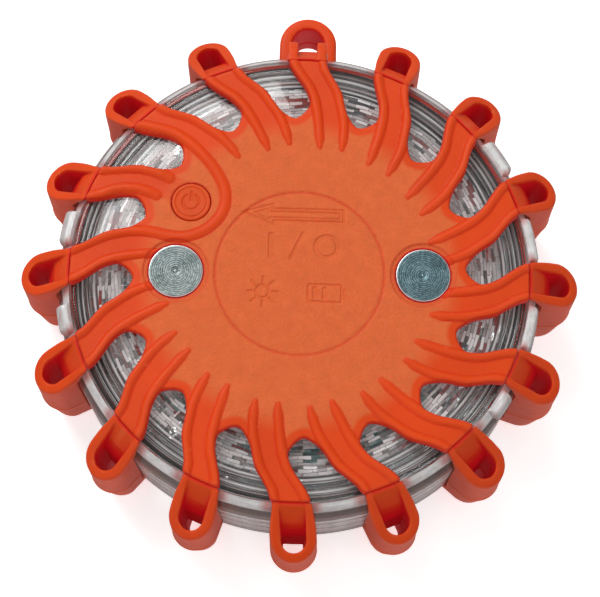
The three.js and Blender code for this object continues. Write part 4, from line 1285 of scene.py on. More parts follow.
def front_field(P):
    """The front cover's field, negative in the rubber. P is (n, 3) in mm."""
    x, y, z = P[:, 0], P[:, 1], P[:, 2]
    r = np.hypot(x, y)
    deg = np.degrees(np.arctan2(y, x))
    k = np.round(deg / PITCH)
    loc = np.radians(deg - k * PITCH)
    u, v = r * np.cos(loc), r * np.sin(loc)
    eye = np.mod(k, 16) == 4
    # disc and arms: z 0.5 to 1.8, ridges and the centre pad stand out to z 0
    win = smax(r - R_ARM - 0.6, window_depth(r, -deg), 0.6)
    face = 0.52 - 0.50 * np.maximum(front_ridge(r, deg), 0)
    face = face - 0.5 * step01((16.6 - r) / 0.7)
    disc = smax(smax(face - z, z - 1.8, 0.15), win, 0.5)
    # loops: the near face falls straight from the joint line to the tip, and each loop leans a little round the disc
    vs = v - 0.2 * step01((u - 43.0) / 1.5) - 0.085 * np.clip(u - 44.0, 0, 6.0)
    grow = step01((u - 43.4) / 4.6)
    half = np.interp(z, [2.3, 12.3, 31.2], [3.92, 4.42, 3.62]) + np.interp(z, [12.3, 24.0], [0.0, 0.45]) * grow
    tip = np.interp(z, [2.3, 12.3, 24, 31.2], [52.9, 54.2, 53.9, 53.6])
    plan = stadium(u, vs, 38.0, tip, half)
    top = (u - 44.2) * 0.585 + (z - 31.16) * 0.811
    top = smax(top, z - 31.18, 0.5)
    low = np.where(u < 45.8, (u - 43.6) * 0.6 - (z - 0.5) * 0.8, 2.32 - z)
    low = np.maximum(low, 0.5 - z)
    loop = smax(smax(plan, top, 0.42), low, 0.7)
    hw = np.interp(z, [2.3, 12.3, 31.2], [1.95, 2.12, 2.45])
    hole = stadium(u, vs, 36.0, np.interp(z, [2.3, 12.3, 24.0, 31.2], HOLE_END), hw)
    web = web_s(r, z)
    hole = smax(hole, -web, 0.3)
    loop = smax(loop, -hole, 0.32)
    # hanging eye
    ring = stadium(u, v, 40.0, EYE_Y + 0.25 + EYE_OUT, EYE_OUT)
    ring = smax(ring, np.abs(z - 14.15) - 5.13, 0.9)
    rhole = stadium(u, v, 40.0, EYE_Y + 0.35 + EYE_IN, EYE_IN)
    eye_web = web - 0.4 * step01((27.0 - z) / 3.0)
    rhole = smax(rhole, -eye_web, 0.5)
    ring = smax(ring, -rhole, 0.6)
    wall = smax(smax(np.abs(v) - 3.98, eye_web, 0.5), z - 31.15, 0.5)
    wall = smax(wall, low, 0.5)
    posts = smax(smax(np.abs(np.abs(v) - 2.8) - 0.92, u - 48.3, 0.5), np.maximum(z - 31.18, 2.35 - z), 0.4)
    posts = smax(posts, (u - 47.2) * 0.6 + (z - 30.6) * 0.8, 0.4)
    hang = smin(smin(ring, wall, 0.5), posts, 0.35)
    body = np.where(eye, hang, loop)
    body = smax(body, -hollow_s(r, z), 0.18)
    body = np.maximum(body, 43.0 - r)
    # a hair-line flash where the two mould halves met
    flash = 0.13 * np.exp(-(((z - 12.3) / 0.13) ** 2)) * (r > 46.8)
    body = body - flash
    return smin(disc, body, 0.35)


def painted_hole_shade(P):
    """Painted red shade, from 0 to 1: it grows with how far a point lies in a loop's hole, in the eye or in the joint
    with the rear cover.
    """
    x, y, z = P[:, 0], P[:, 1], P[:, 2]
    r = np.hypot(x, y)
    deg = np.degrees(np.arctan2(y, x))
    k = np.round(deg / PITCH)
    loc = np.radians(deg - k * PITCH)
    u, v = r * np.cos(loc), r * np.sin(loc)
    vs = v - 0.2 * step01((u - 43.0) / 1.5) - 0.085 * np.clip(u - 44.0, 0, 6.0)
    hw = np.interp(z, [2.3, 12.3, 31.2], [1.95, 2.12, 2.45])
    off = stadium(u, vs, 36.0, np.interp(z, [2.3, 12.3, 24.0, 31.2], HOLE_END), hw)
    inside_hole = 1 - step01((off - 0.02) / 0.3)
    below = -((u - 44.2) * 0.585 + (z - 31.16) * 0.811)
    sides = step01((below - 0.15) / 1.3) * step01((off + 0.55) / 0.4)
    out = inside_hole * np.maximum(step01((below - 0.4) / 3.0), sides) * (u > 43.9)
    eye = np.mod(k, 16) == 4
    ring = (1 - step01((np.abs(stadium(u, v, 40.0, EYE_Y + 0.35 + EYE_IN, EYE_IN)) - 0.15) / 0.35)) * (np.abs(z - 14.15) < 4.95)
    out = np.where(eye, 0.85 * ring, out)
    joint = step01((44.28 - r) / 0.3) * (z > 29.5) * (z < 31.1)
    return np.clip(np.maximum(out, 0.85 * joint), 0, 1)


tz = [np.arange(-0.35, 2.75, 0.2)]
step_z = 0.42
tz.append(np.arange(tz[0][-1] + 0.3, 11.8, step_z))
tz.append(np.array([11.9, 12.08, 12.2, 12.3, 12.4, 12.52, 12.7]))
tz.append(np.arange(13.0, 31.7, step_z))
zs = np.concatenate(tz)
rs = np.concatenate([np.arange(14.5, 18.2, 0.35), np.arange(18.6, 24.5, 0.9), np.arange(25.0, 31.0, 0.45), np.arange(31.3, 54.6, 0.34), [54.9], np.arange(55.3, 58.6, 0.4)])
NT = 16 * 60
per = NT // 16


def front_grid():
    """The field on the polar grid, worked out for one plain pitch and for the eye's pitch."""
    def sector(k0):
        th = (np.arange(per) + (k0 - 0.5) * per) * 360.0 / NT
        R, T, Z = np.meshgrid(rs, th, zs, indexing="ij")
        a = np.radians(T)
        P = np.stack([(R * np.cos(a)).ravel(), (R * np.sin(a)).ravel(), Z.ravel()], 1)
        return front_field(P).reshape(R.shape)
    plain_s, eye_s = sector(0), sector(4)
    full = np.concatenate([eye_s if k == 4 else plain_s for k in range(16)], 1)
    return np.roll(full, -per // 2, axis=1)


G = front_grid()
V, Q, rim, cj, ck = polar_nets(G, rs, zs, front_field)
# close the flat centre: a fan from each open ring to the axis
tris = []
centre_ids = []
for lowside in (True, False):
    sel = rim[(ck[rim] < len(zs) // 2) & ((V[rim, 2] < 0.9) == lowside)]
    order = sel[np.argsort(cj[sel])]
    zc = float(np.median(V[order, 2]))
    V[order, 2] = 0.02 if lowside else 1.8
    c = len(V)
    V = np.concatenate([V, [[0, 0, 0.02 if lowside else 1.8]]])
    nxt = np.roll(order, -1)
    full_c = np.full(len(order), c)
    tris.append(np.stack([nxt, order, full_c], 1) if lowside else np.stack([order, nxt, full_c], 1))
front_cover = make("front_cover_skin", V, [np.concatenate(tris), Q], ORANGE, "front_half", ["front_cover"], sharp=50)
mask = np.ones(len(V))
face_v = np.nonzero((V[:, 2] < 0.75) & (np.hypot(V[:, 0], V[:, 1]) < 43.6))[0]
mask[face_v] = arm_mask(V[face_v, 0], -V[face_v, 1], ridge_lines(False))
mask[np.hypot(V[:, 0], V[:, 1]) < 16.2] = 0
paint(front_cover, "smooth_skin", mask)
# painted red shade in the loops' holes, the eye and the joint with the rear cover
paint(front_cover, "painted_red_shade", painted_hole_shade(V))


# ------------------------------------------------------------------ clear housings


def evaluated(ob):
    """Bakes an object's modifiers into its mesh."""
    dg = bpy.context.evaluated_depsgraph_get()
    me = bpy.data.meshes.new_from_object(ob.evaluated_get(dg))
    old = ob.data
    ob.modifiers.clear()
    ob.data = me
    bpy.data.meshes.remove(old)
    return ob


def rough_object(name, V, faces):
    me = bpy.data.meshes.new(name)
    me.from_pydata([tuple(v * MM) for v in np.asarray(V, dtype=float)], [], [tuple(int(i) for i in row) for f in faces for row in f])
    me.update()
    ob = bpy.data.objects.new(name, me)
    bpy.context.scene.collection.objects.link(ob)
    return ob


def carve(V, faces, steps):
    """Adds and removes closed shapes with the exact boolean. Returns V in mm and faces grouped by corner count."""
    base = rough_object("carve_base", V, faces)
    tools = []
    for i, (op, v, f) in enumerate(steps):
        t = rough_object(f"carve_tool_{i}", v, f)
        tools.append(t)
        mod = base.modifiers.new(f"m{i}", "BOOLEAN")
        mod.operation = op
        mod.solver = "EXACT"
        mod.object = t
    bpy.context.view_layer.update()
    evaluated(base)
    me = base.data
    co = np.empty(len(me.vertices) * 3, dtype=np.float32)
    me.vertices.foreach_get("co", co)
    groups = {}
    for p in me.polygons:
        groups.setdefault(p.loop_total, []).append(list(p.vertices))
    out = [np.array(groups[k]) for k in sorted(groups)]
    for ob in [base, *tools]:
        m = ob.data
        bpy.data.objects.remove(ob)
        bpy.data.meshes.remove(m)
    return co.reshape(-1, 3) / MM, out


def cylinder(cx, cy, r, z0, z1, n=72):
    return revolve([(0, z0), (r, z0), (r, z1), (0, z1)], n=n, centre=(cx, cy))


# lugs on the rim, as (first angle, last angle, radius)
LUGS = [(165.5, 174.4, 46.6), (189.4, 196.8, 46.6), (29.0, 38.5, 46.6), (-35.0, -28.4, 46.6), (5.6, 16.9, 46.0), (-16.9, -5.6, 46.0)]
# the lug's own outline, as (z, radius, height it is lifted to)
LUG_P = [(27.55, 46.0, 27.75), (27.7, 46.45, 27.95), (27.85, 46.6, 28.3), (28.2, 46.6, 29.3), (28.6, 46.45, 30.1), (29.0, 46.1, 30.65), (29.4, 45.55, 30.98), (29.8, 44.95, 31.08), (30.1, 44.4, 30.95)]
LUG_Z = [(z, r, zz) for z, r, zz in LUG_P]


def slope_r(z):
    return float(np.interp(z, [26.2, 28.0, 29.8, 30.1], [46.25, 45.25, 43.98 + 0.1, 43.97]))


housing = [(0, 2.1), (43.4, 2.1), (43.8, 2.3), (46.2, 6.3), (46.35, 6.8), (46.35, 12.0), (46.35, 18.6), (46.3, 18.8), (46.05, 18.9), (46.05, 19.3), (46.3, 19.4), (46.35, 19.6), (46.35, 22.6), (46.3, 22.8), (46.0, 22.9), (46.0, 23.4), (46.3, 23.5), (46.35, 23.7), (46.35, 25.5), (46.25, 26.2)]
lug_start = len(housing)
housing += [(slope_r(z), z) for z, _, _ in LUG_Z]
housing += [(43.9, 30.16), (43.86, 30.1), (43.85, 29.9), (43.85, 27.75), (43.78, 27.68), (43.2, 27.65), (43.15, 27.5), (43.15, 3.9), (42.9, 3.6)]
housing += [(r, 3.6) for r in (38.0, 30.0, 20.0)] + [(0, 3.6)]


def lug_shape(deg, R, Z):
    w = np.zeros(deg.shape)
    rad = np.full(deg.shape, 46.6)
    for a, b, rr in LUGS:
        mid, half = (a + b) / 2, (b - a) / 2
        d = np.abs((deg - mid + 180) % 360 - 180)
        e = np.clip((half - d) / 1.25, 0, 1)
        k = np.sqrt(np.maximum(1 - (1 - e) ** 2, 0))
        rad = np.where(k > 0, rr, rad)
        w = np.maximum(w, k)
    R, Z = R.copy(), Z.copy()
    for i, (z, r1, z1) in enumerate(LUG_Z):
        row = lug_start + i
        want = r1 + (rad[0] - 46.6) * (1 if r1 > 45.9 else 0)
        k = w[0]
        R[row] = R[row] + k * np.maximum(want - R[row], 0)
        Z[row] = Z[row] + np.where(rad[0] > 46.3, 1.0, 0.45) * k * (z1 - Z[row])
    return R, Z


V, F = revolve(housing, n=1440, shape=lug_shape)
posts = [("UNION", *cylinder(27.2 * math.cos(math.radians(11.25 + 90 * i)), 27.2 * math.sin(math.radians(11.25 + 90 * i)), 3.1, 3.3, 9.1, 40)) for i in range(4)]
V2, F2, I2 = merge([(V, F, 0)] + [(v, f, 0) for _, v, f in posts])
front_housing = make("front_housing_clear", V2, F2, CLEAR_RIM, "front_half", ["front_housing"], sharp=32)

lid = rounded(
    [(0, 28), (36.0, 28), (36.1, 27.86), (36.5, 27.86), (36.6, 28), (39.6, 28), (39.6, 22), (42.8, 22), (42.8, 24.9), (41.0, 24.9), (41.0, 27.3), (42.8, 27.3), (42.8, 28), (43.5, 28), (43.5, 29.62), (42.9, 29.72), (42.75, 29.58), (42.2, 29.58), (42.1, 29.7), (41.6, 29.7), (41.5, 29.52), (41.2, 29.52), (41.1, 29.7), (40.5, 29.7), (40.4, 29.52), (40.1, 29.52), (40.0, 29.7), (0, 29.7)],
    [0, 0, 0, 0, 0, 0.1, 0.2, 0.35, 0.2, 0.2, 0.2, 0.2, 0.15, 0.15, 0.15, 0.05, 0.05, 0.05, 0.05] + [0.03] * 8 + [0], steps=3)
V, F = revolve(lid, n=288)
(mx, my), (nx, ny), (bx, by) = MAGNETS["magnet_right"], MAGNETS["magnet_left"], BUTTON
steps = [
    ("UNION", *cylinder(mx, my, 6.4, 26.9, 28.5)), ("UNION", *cylinder(nx, ny, 6.4, 26.9, 28.5)), ("UNION", *cylinder(bx, by, 5.9, 25.0, 28.5)),
    ("DIFFERENCE", *cylinder(mx, my, 5.5, 27.9, 31)), ("DIFFERENCE", *cylinder(nx, ny, 5.5, 27.9, 31)),
    ("DIFFERENCE", *cylinder(bx, by, 5.1, 27.0, 31)), ("DIFFERENCE", *cylinder(bx, by, 1.85, 24, 28)),
]
V, F = carve(V, F, steps)
rear_housing = make("rear_housing_clear", V, F, CLEAR_LID, "rear_half", ["rear_housing"], sharp=32)

# a lens ring: smooth outside, with a saw-tooth of thin prisms inside that run round it, and a domed lens in front of each lamp
prisms = []
zz = np.arange(5.6, 20.3, 0.98)
for i, z in enumerate(zz):
    d = abs(z + 0.49 - 13.0) / 7.4
    depth = 0.25 + 0.5 * d
    lo, hi = ((0.0, depth) if z + 0.49 < 13 else (depth, 0.0))
    prisms += [(40.75 + lo * 0.8, z + 0.04), (40.75 + hi * 0.8, z + 0.94)]
dense = [(42.8, 5.15), (42.8, 8.0), (42.8, 11.0), (42.8, 14.0), (42.8, 17.0), (42.8, 20.8), (42.65, 21.0), (41.5, 21.0), (40.95, 20.9)] + prisms[::-1] + [(40.95, 5.1), (41.5, 5.0), (42.65, 5.0)]


def lens_shape(deg, R, Z):
    R = R.copy()
    inner = step01((42.2 - R) / 0.4)
    led = (deg + PITCH / 2) % PITCH - PITCH / 2
    bulge = 0.5 * np.exp(-((led / 3.4) ** 2)) * np.exp(-(((Z - 14) / 3.2) ** 2))
    seg = 0.12 * np.abs(np.sin(np.radians(deg * 24)))
    return R - inner * (bulge + seg), Z


V, F = revolve(dense, n=960, shape=lens_shape, closed=True)
lens_ring = make("lens_ring_clear", V, F, CLEAR_LENS, "front_half", ["lens_ring"], sharp=24)

# reflector: a metallised cone in stepped facets, laid like courses of small tilted mirrors
rng = np.random.default_rng(7)
COURSES, SEGS = 13, 132
tilt = rng.uniform(-1, 1, (COURSES, SEGS))
radial = rng.uniform(-0.35, 0.35, (COURSES, SEGS))
Vr, Fr, at = [], [], 0
r_edges = np.linspace(33.1, 39.8, COURSES + 1)


def cone_top(r):
    return 10.68 - (r - 33.1) * (10.68 - 6.02) / 6.7


def cone_low(r):
    return 9.62 - (r - 33.1) * (9.62 - 3.92) / 6.7


nseg = SEGS
ang = np.arange(nseg) * 2 * math.pi / nseg
ringsV, ringsI = [], []
# each course holds its facets as one grid of corners: inner and outer edge, left and right side
for j in range(COURSES):
    ra, rb = r_edges[j] + (0.0 if j == 0 else 0.03), r_edges[j + 1]
    drop = 0.22
    for s in range(nseg):
        a0, a1 = ang[s] + 0.001, ang[s] + 2 * math.pi / nseg - 0.001
        t, q = 0.11 * tilt[j, s], 0.14 * radial[j, s]
        za, zb = cone_top(ra) - 0.05 + q, cone_top(rb) + drop - 0.05 - q
        for r, a, z in ((ra, a0, za - t), (ra, a1, za + t), (rb, a1, zb + t), (rb, a0, zb - t)):
            Vr.append((r * math.cos(a), r * math.sin(a), z))
        Fr.append((at, at + 3, at + 2, at + 1))
        at += 4
Vr = np.array(Vr)
Fr = np.array(Fr)
base_of = lambda j, s: (j * nseg + s % nseg) * 4
side = []
for j in range(COURSES):
    for s in range(nseg):
        b, n = base_of(j, s), base_of(j, s + 1)
        side.append((b + 1, b + 2, n + 3, n))
        if j + 1 < COURSES:
            o = base_of(j + 1, s)
            side.append((b + 3, o, o + 1, b + 2))
corner = []
for j in range(COURSES - 1):
    for s in range(nseg):
        b, n, o, p = base_of(j, s), base_of(j, s + 1), base_of(j + 1, s), base_of(j + 1, s + 1)
        corner.append((b + 2, o + 1, p, n + 3))
# underside and the two rims
low0 = at
for s in range(nseg):
    for a in (ang[s] + 0.001, ang[s] + 2 * math.pi / nseg - 0.001):
        for r in (33.1, 39.8):
            Vr = np.concatenate([Vr, [(r * math.cos(a), r * math.sin(a), cone_low(r))]])
low = lambda s, e, o: low0 + ((s % nseg) * 2 + e) * 2 + o
under = []
for s in range(nseg):
    under.append((low(s, 0, 0), low(s, 1, 0), low(s, 1, 1), low(s, 0, 1)))
    under.append((low(s, 1, 0), low(s + 1, 0, 0), low(s + 1, 0, 1), low(s, 1, 1)))
    b, n = base_of(0, s), base_of(0, s + 1)
    under.append((b, b + 1, low(s, 1, 0), low(s, 0, 0)))
    under.append((b + 1, n, low(s + 1, 0, 0), low(s, 1, 0)))
    b, n = base_of(COURSES - 1, s), base_of(COURSES - 1, s + 1)
    under.append((b + 2, b + 3, low(s, 0, 1), low(s, 1, 1)))
    under.append((n + 3, b + 2, low(s, 1, 1), low(s + 1, 0, 1)))
faces = [np.concatenate([Fr, np.array(side), np.array(corner), np.array(under)])]
reflector = make("reflector_facets", Vr, faces, SILVER, "front_half", ["reflector_ring"], sharp=8)
bm = bmesh.new()
bm.from_mesh(reflector.data)
bmesh.ops.recalc_face_normals(bm, faces=bm.faces)
bm.to_mesh(reflector.data)
bm.free()
for p in reflector.data.polygons:
    p.use_smooth = False

t = np.linspace(0, 2 * math.pi, 20, endpoint=False)
V, F = revolve([(42.1 + 0.8 * math.cos(a), 26.1 + 0.88 * math.sin(a)) for a in t], n=360, closed=True)
o_ring = make("o_ring_seal", V, F, SEAL, "seal", ["o_ring"], sharp=None)

# ------------------------------------------------------------------ magnets, button and seal

for name, (cx, cy) in MAGNETS.items():
    prof = rounded([(0, 28.2), (5.15, 28.2), (5.15, 31.2), (4.7, 31.2)], [0, 0.2, 0.16, 0], steps=3)
    prof += [(r, 31.2) for r in (4.4, 4.0, 3.4, 2.8, 2.2, 1.6, 1.0)]
    prof += [(0.62, 31.19), (0.5, 31.12), (0.36, 31.08), (0.2, 31.1), (0.1, 31.14), (0, 31.15)]
    V, F = revolve(prof, n=128, centre=(cx, cy))
    # the right magnet gets a darker, bluer painted light tint than the left one: painted shade on the same part
    make(name + "_plated", V, F, magnet_metal(name + "_plating", (cx, cy), (0.52, 0.72, 0.80) if cx > 0 else (0.86, 0.86, 0.84)), "rear_half", [name], sharp=40)

power = [(arc(0, 0, 2.95, 0, 360, 90), 0.13, 0.16), (arc(0, 0, 1.55, 90 + 34, 90 + 326, 70), 0.24, 0.22), (np.array([(0, 0.35), (0, 1.95)]), 0.24, 0.22)]
cap = rounded([(0, 16.35), (1.5, 16.35), (1.5, 28.6), (4.8, 28.6), (4.8, 29.6), (3.7, 29.7), (3.7, 31.45), (3.2, 31.5)], [0, 0.35, 0.2, 0.2, 0.3, 0.15, 0.45, 0], steps=4)
cap_rows = len(cap)
cap += [(r, 31.5) for r in np.arange(3.1, 0.05, -0.07)] + [(0, 31.46)]


def symbol(deg, R, Z):
    Z = Z.copy()
    rows = np.arange(len(cap)) >= cap_rows
    a = np.radians(deg)
    rr = R[rows]
    P = np.stack([(rr * np.cos(a)).ravel(), (rr * np.sin(a)).ravel()], 1)
    cut = np.zeros(len(P))
    for line, w, d in power:
        dist, _ = line_distance(P, line)
        cut = np.maximum(cut, d * (1 - step01((dist - w + 0.08) / 0.16)))
    dish = 0.04 * (1 - (P[:, 0] ** 2 + P[:, 1] ** 2) / 9.6)
    Z[rows] -= (cut + np.maximum(dish, 0)).reshape(rr.shape)
    return R, Z


V, F = revolve(cap, n=240, shape=symbol, centre=BUTTON)
button = make("power_button_cap", V, F, BUTTON_ORANGE, "power_button", ["power_button"], sharp=45)

sealp = [(1.85, 27.36), (2.6, 27.3), (3.4, 27.42), (4.2, 27.3), (4.8, 27.34), (4.8, 27.66), (4.2, 27.62), (3.4, 27.7), (2.6, 27.6), (1.85, 27.66)]
V, F = revolve(rounded(sealp, 0.1, closed=True, steps=2), n=96, centre=BUTTON, closed=True)
make("button_seal_ring", V, F, SEAL, "rear_half", ["button_seal"], sharp=None)

# ------------------------------------------------------------------ LEDs


def tube(path, radius, n=10):
    """A round bar along a path of points, with flat ends."""
    P = np.array(path, dtype=float)
    m = len(P)
    T = np.gradient(P, axis=0)
    T /= np.linalg.norm(T, axis=1)[:, None]
    ref = np.array([0.0, 1.0, 0.0])
    V = []
    for i in range(m):
        s = np.cross(T[i], ref)
        s /= max(np.linalg.norm(s), 1e-9)
        u = np.cross(s, T[i])
        for k in range(n):
            a = 2 * math.pi * k / n
            V.append(P[i] + radius * (math.cos(a) * s + math.sin(a) * u))
    V = np.array(V)
    quads = []
    for i in range(m - 1):
        for k in range(n):
            k1 = (k + 1) % n
            quads.append((i * n + k, i * n + k1, (i + 1) * n + k1, (i + 1) * n + k))
    c0, c1 = len(V), len(V) + 1
    V = np.concatenate([V, [P[0]], [P[-1]]])
    tri = [(c0, (k + 1) % n, k) for k in range(n)] + [(c1, (m - 1) * n + k, (m - 1) * n + (k + 1) % n) for k in range(n)]
    return V, [np.array(tri), np.array(quads)]


def cuboid(lo, hi, bevel=0.08, steps=2):
    x0, y0, z0 = lo
    x1, y1, z1 = hi
    r = min(bevel * 1.5, (x1 - x0) / 3, (y1 - y0) / 3)
    o = rounded_rect((x0 + x1) / 2, (y0 + y1) / 2, x1 - x0, y1 - y0, r)
    # corners wind the same way round
    order = np.argsort(np.arctan2(o[:, 1] - (y0 + y1) / 2, o[:, 0] - (x0 + x1) / 2))
    o = o[order]
    v, q, ends = prism(o, z0, z1, bevel=bevel, steps=steps)
    n = len(o)
    tri = []
    for ring in ends:
        c = len(v)
        v = np.concatenate([v, [v[ring].mean(0)]])
        tri.append(np.stack([ring, np.roll(ring, -1), np.full(n, c)], 1))
    return v, [np.concatenate(tri), q[0]]


def lamp():
    """One 5 mm LED lying along +X: epoxy body, anvil and post inside it, and two legs down to the board."""
    prof = [(0, 31.0), (2.4, 31.0), (2.7, 31.15), (2.7, 31.9), (2.6, 32.0), (2.5, 32.05), (2.5, 37.1)]
    prof += [(2.5 * math.cos(a), 37.2 + 2.5 * math.sin(a)) for a in np.linspace(0.12, math.pi / 2 - 0.12, 9)] + [(0, 39.7)]
    v, f = revolve(prof, n=40)
    # Z of the profile is the lamp's axis: turn it to +X and lift it to z 14
    body = np.column_stack([v[:, 2], v[:, 1], -v[:, 0] + 14.0])
    parts = [(body, f, 0)]
    # anvil with its cup, post, and die
    cupp = [(0, 33.9), (0.75, 33.9), (0.95, 34.0), (1.15, 35.0), (1.05, 35.05), (0.6, 34.45), (0, 34.4)]
    v, f = revolve(cupp, n=24)
    parts.append((np.column_stack([v[:, 2], v[:, 1] + 0.35, -v[:, 0] + 14.0]), f, 1))
    v, f = cuboid((34.4, 0.15, 13.8), (34.55, 0.55, 14.2), bevel=0.03, steps=1)
    parts.append((v, f, 2))
    v, f = cuboid((31.2, 0.75, 13.4), (33.95, 1.15, 14.6), bevel=0.05, steps=1)
    parts.append((v, f, 1))
    v, f = cuboid((31.2, -1.5, 13.55), (34.3, -1.1, 14.45), bevel=0.05, steps=1)
    parts.append((v, f, 1))
    for y in (-1.27, 1.27):
        path = [(31.1, y, 14.0), (30.4, y, 14.0), (29.85, y, 13.95), (29.58, y, 13.75), (29.45, y, 13.4), (29.45, y, 12.6), (29.45, y, 11.35)]
        v, f = tube(path, 0.25, 10)
        parts.append((v, f, 1))
    return merge(parts)


LV, LF, LI = lamp()
DIE = plain("led_die", (0.75, 0.62, 0.12), 0.35, 900, 0.15, 0.05)
for i in range(16):
    make(f"led_{i + 1:02d}_lamp", turned(LV, i * PITCH), LF, [LED_CLEAR, COPPER_TIN, DIE], "front_half", [f"led_{i + 1:02d}"], sharp=40, mat_index=LI)

# ------------------------------------------------------------------ board, switch, chip, cells and screws


def disc_plate(R, z0, z1, n=240, holes=()):
    V, F = revolve(rounded([(0, z0), (R, z0), (R, z1), (0, z1)], [0, 0.12, 0.12, 0], steps=2), n=n)
    return V, F


bv, bf = disc_plate(32.5, 9.4, 11.0)
parts = [(bv, bf, 0)]
for i in range(16):
    a = i * PITCH
    for y in (-1.27, 1.27):
        v, f = revolve([(0, 10.98), (0.95, 10.98), (0.9, 11.06), (0.5, 11.2), (0.3, 11.42), (0, 11.45)], n=20, centre=(29.45, y))
        parts.append((turned(v, a), f, 1))
    # a chip resistor beside each lamp: body and two end caps
    if i % 4 != 0:
        r0 = 26.4
        v, f = cuboid((r0 - 0.6, -0.62, 11.02), (r0 + 0.6, 0.62, 11.5), bevel=0.05, steps=1)
        parts.append((turned(v, a + 5.6), f, 2))
        for y in (-1.0, 0.62):
            v, f = cuboid((r0 - 0.62, y, 11.0), (r0 + 0.62, y + 0.38, 11.53), bevel=0.05, steps=1)
            parts.append((turned(v, a + 5.6), f, 1))
V, F, I = merge(parts)
make("main_board", V, F, [BOARD, COPPER_TIN, CHIP], "front_half", ["main_pcb"], sharp=35, mat_index=I)

# controller chip: body with a pin-1 dimple and four gull-wing legs a side
cv, cf = cuboid((19.75, -19.45, 11.45), (23.85, -14.05, 12.7), bevel=0.12, steps=2)
parts = [(cv, cf, 0)]
for k in range(4):
    y = -18.65 + k * 1.27
    for s, x in ((1, 23.8), (-1, 19.8)):
        for lo, hi in (((0, 11.85), (0.28, 12.05)), ((0.2, 11.35), (0.34, 12.0)), ((0.25, 11.3), (0.5, 11.42))):
            xa, xb = sorted((x + s * lo[0], x + s * hi[0]))
            v, f = cuboid((xa, y - 0.2, lo[1]), (xb, y + 0.2, hi[1]), bevel=0.03, steps=1)
            parts.append((v, f, 1))
v, f = revolve([(0, 12.68), (0.3, 12.68), (0.32, 12.705), (0, 12.705)], n=20, centre=(20.5, -14.85))
parts.append((v, f, 2))
V, F, I = merge(parts)
make("controller_chip_body", V, F, [CHIP, COPPER_TIN, BLACK], "front_half", ["controller_chip"], sharp=35, mat_index=I)

sx, sy = BUTTON
box_lo, box_hi = [[c * 1000 for c in p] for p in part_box("switch_body")]
parts = []
v, f = cuboid((box_lo[0], box_lo[1], 11.3), (box_hi[0], box_hi[1], 14.2), bevel=0.2, steps=2)
parts.append((v, f, 0))
ring = rounded([(2.05, 14.15), (2.85, 14.15), (2.85, 14.5), (2.05, 14.6)], 0.08, closed=True, steps=2)
v, f = revolve(ring, n=64, centre=BUTTON, closed=True)
parts.append((v, f, 0))
for ax in (-1, 1):
    for ay in (-1, 1):
        v, f = revolve([(0, 14.15), (0.42, 14.15), (0.4, 14.4), (0, 14.45)], n=20, centre=(sx + ax * 2.35, sy + ay * 2.35))
        parts.append((v, f, 1))
V, F, I = merge(parts)
make("tact_switch_body", V, F, [BLACK, COPPER_TIN], "front_half", ["switch_body"], sharp=35, mat_index=I)
V, F = revolve(rounded([(0, 14.1), (1.7, 14.1), (1.7, 16.0), (0, 16.0)], [0, 0.1, 0.25, 0], steps=3), n=64, centre=BUTTON)
STEM = plain("switch_stem", (0.55, 0.55, 0.53), 0.4, 900, 0.08, 0.1)
make("switch_plunger_stem", V, F, STEM, "switch_plunger", ["switch_plunger"], sharp=35)

for i, (x, s) in enumerate(((-11, 1), (0, -1), (11, 1)), 1):
    r = 5.25
    # along the cell's axis: flat end, wrapped can with rolled edges, shoulder and contact nub
    prof = [(0, -22.2), (3.9, -22.2), (4.3, -22.15), (4.35, -22.0), (5.0, -22.0), (5.2, -21.9), (5.25, -21.6)]
    prof += [(5.25, y) for y in (-15.0, -9.0, 0.0, 9.0, 15.0, 20.3)] + [(5.22, 20.7), (5.05, 20.95), (4.6, 21.0), (4.55, 21.15), (2.9, 21.2), (2.75, 21.3), (2.7, 22.1), (2.55, 22.3), (0, 22.3)]
    v, f = revolve(prof, n=64)
    v = np.column_stack([v[:, 0], v[:, 2] * s, -v[:, 1] * s + 0.0])
    v = np.column_stack([v[:, 0] + x, v[:, 1], v[:, 2] + 21.25])
    cent = [None] * len(f)
    idx = []
    for ff in f:
        ym = v[ff][:, :, 1].mean(1) * s
        idx.append(np.where((ym < -21.95) | (ym > 20.98), 1, np.where(ym > 9.0, 2, 0)))
    make(f"battery_cell_{i}_wrap", v, f, [WRAP, CELL_CAN, WRAP_BAND], "front_half", [f"battery_cell_{i}"], sharp=35, mat_index=np.concatenate(idx))

for i in range(4):
    a = math.radians(11.25 + 90 * i)
    cx, cy = 27.2 * math.cos(a), 27.2 * math.sin(a)
    prof = rounded([(0, 11.3), (2.4, 11.3), (2.4, 12.35), (1.7, 12.95), (0, 13.0)], [0, 0.1, 0.35, 0.4, 0], steps=3)
    v, f = revolve(prof, n=64)
    cross = [("DIFFERENCE", *cuboid((-1.35, -0.28, 12.35), (1.35, 0.28, 13.4), bevel=0.06, steps=1)), ("DIFFERENCE", *cuboid((-0.28, -1.35, 12.35), (0.28, 1.35, 13.4), bevel=0.06, steps=1))]
    v, f = carve(v, f, cross)
    v = turned(v, 17 + 41 * i)
    v[:, 0] += cx
    v[:, 1] += cy
    make(f"pcb_screw_{i + 1}_head", v, f, ZINC, "front_half", [f"pcb_screw_{i + 1}"], sharp=35)

# carried-over CAD nodes take their materials
for name, node in list(bpy.data.objects.items()):
    if "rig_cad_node" in node and not node.hide_render:
        m = STEEL if "contact" in name else BLACK
        node.data.materials.clear()
        node.data.materials.append(m)


# ------------------------------------------------------------------ camera, floor and light

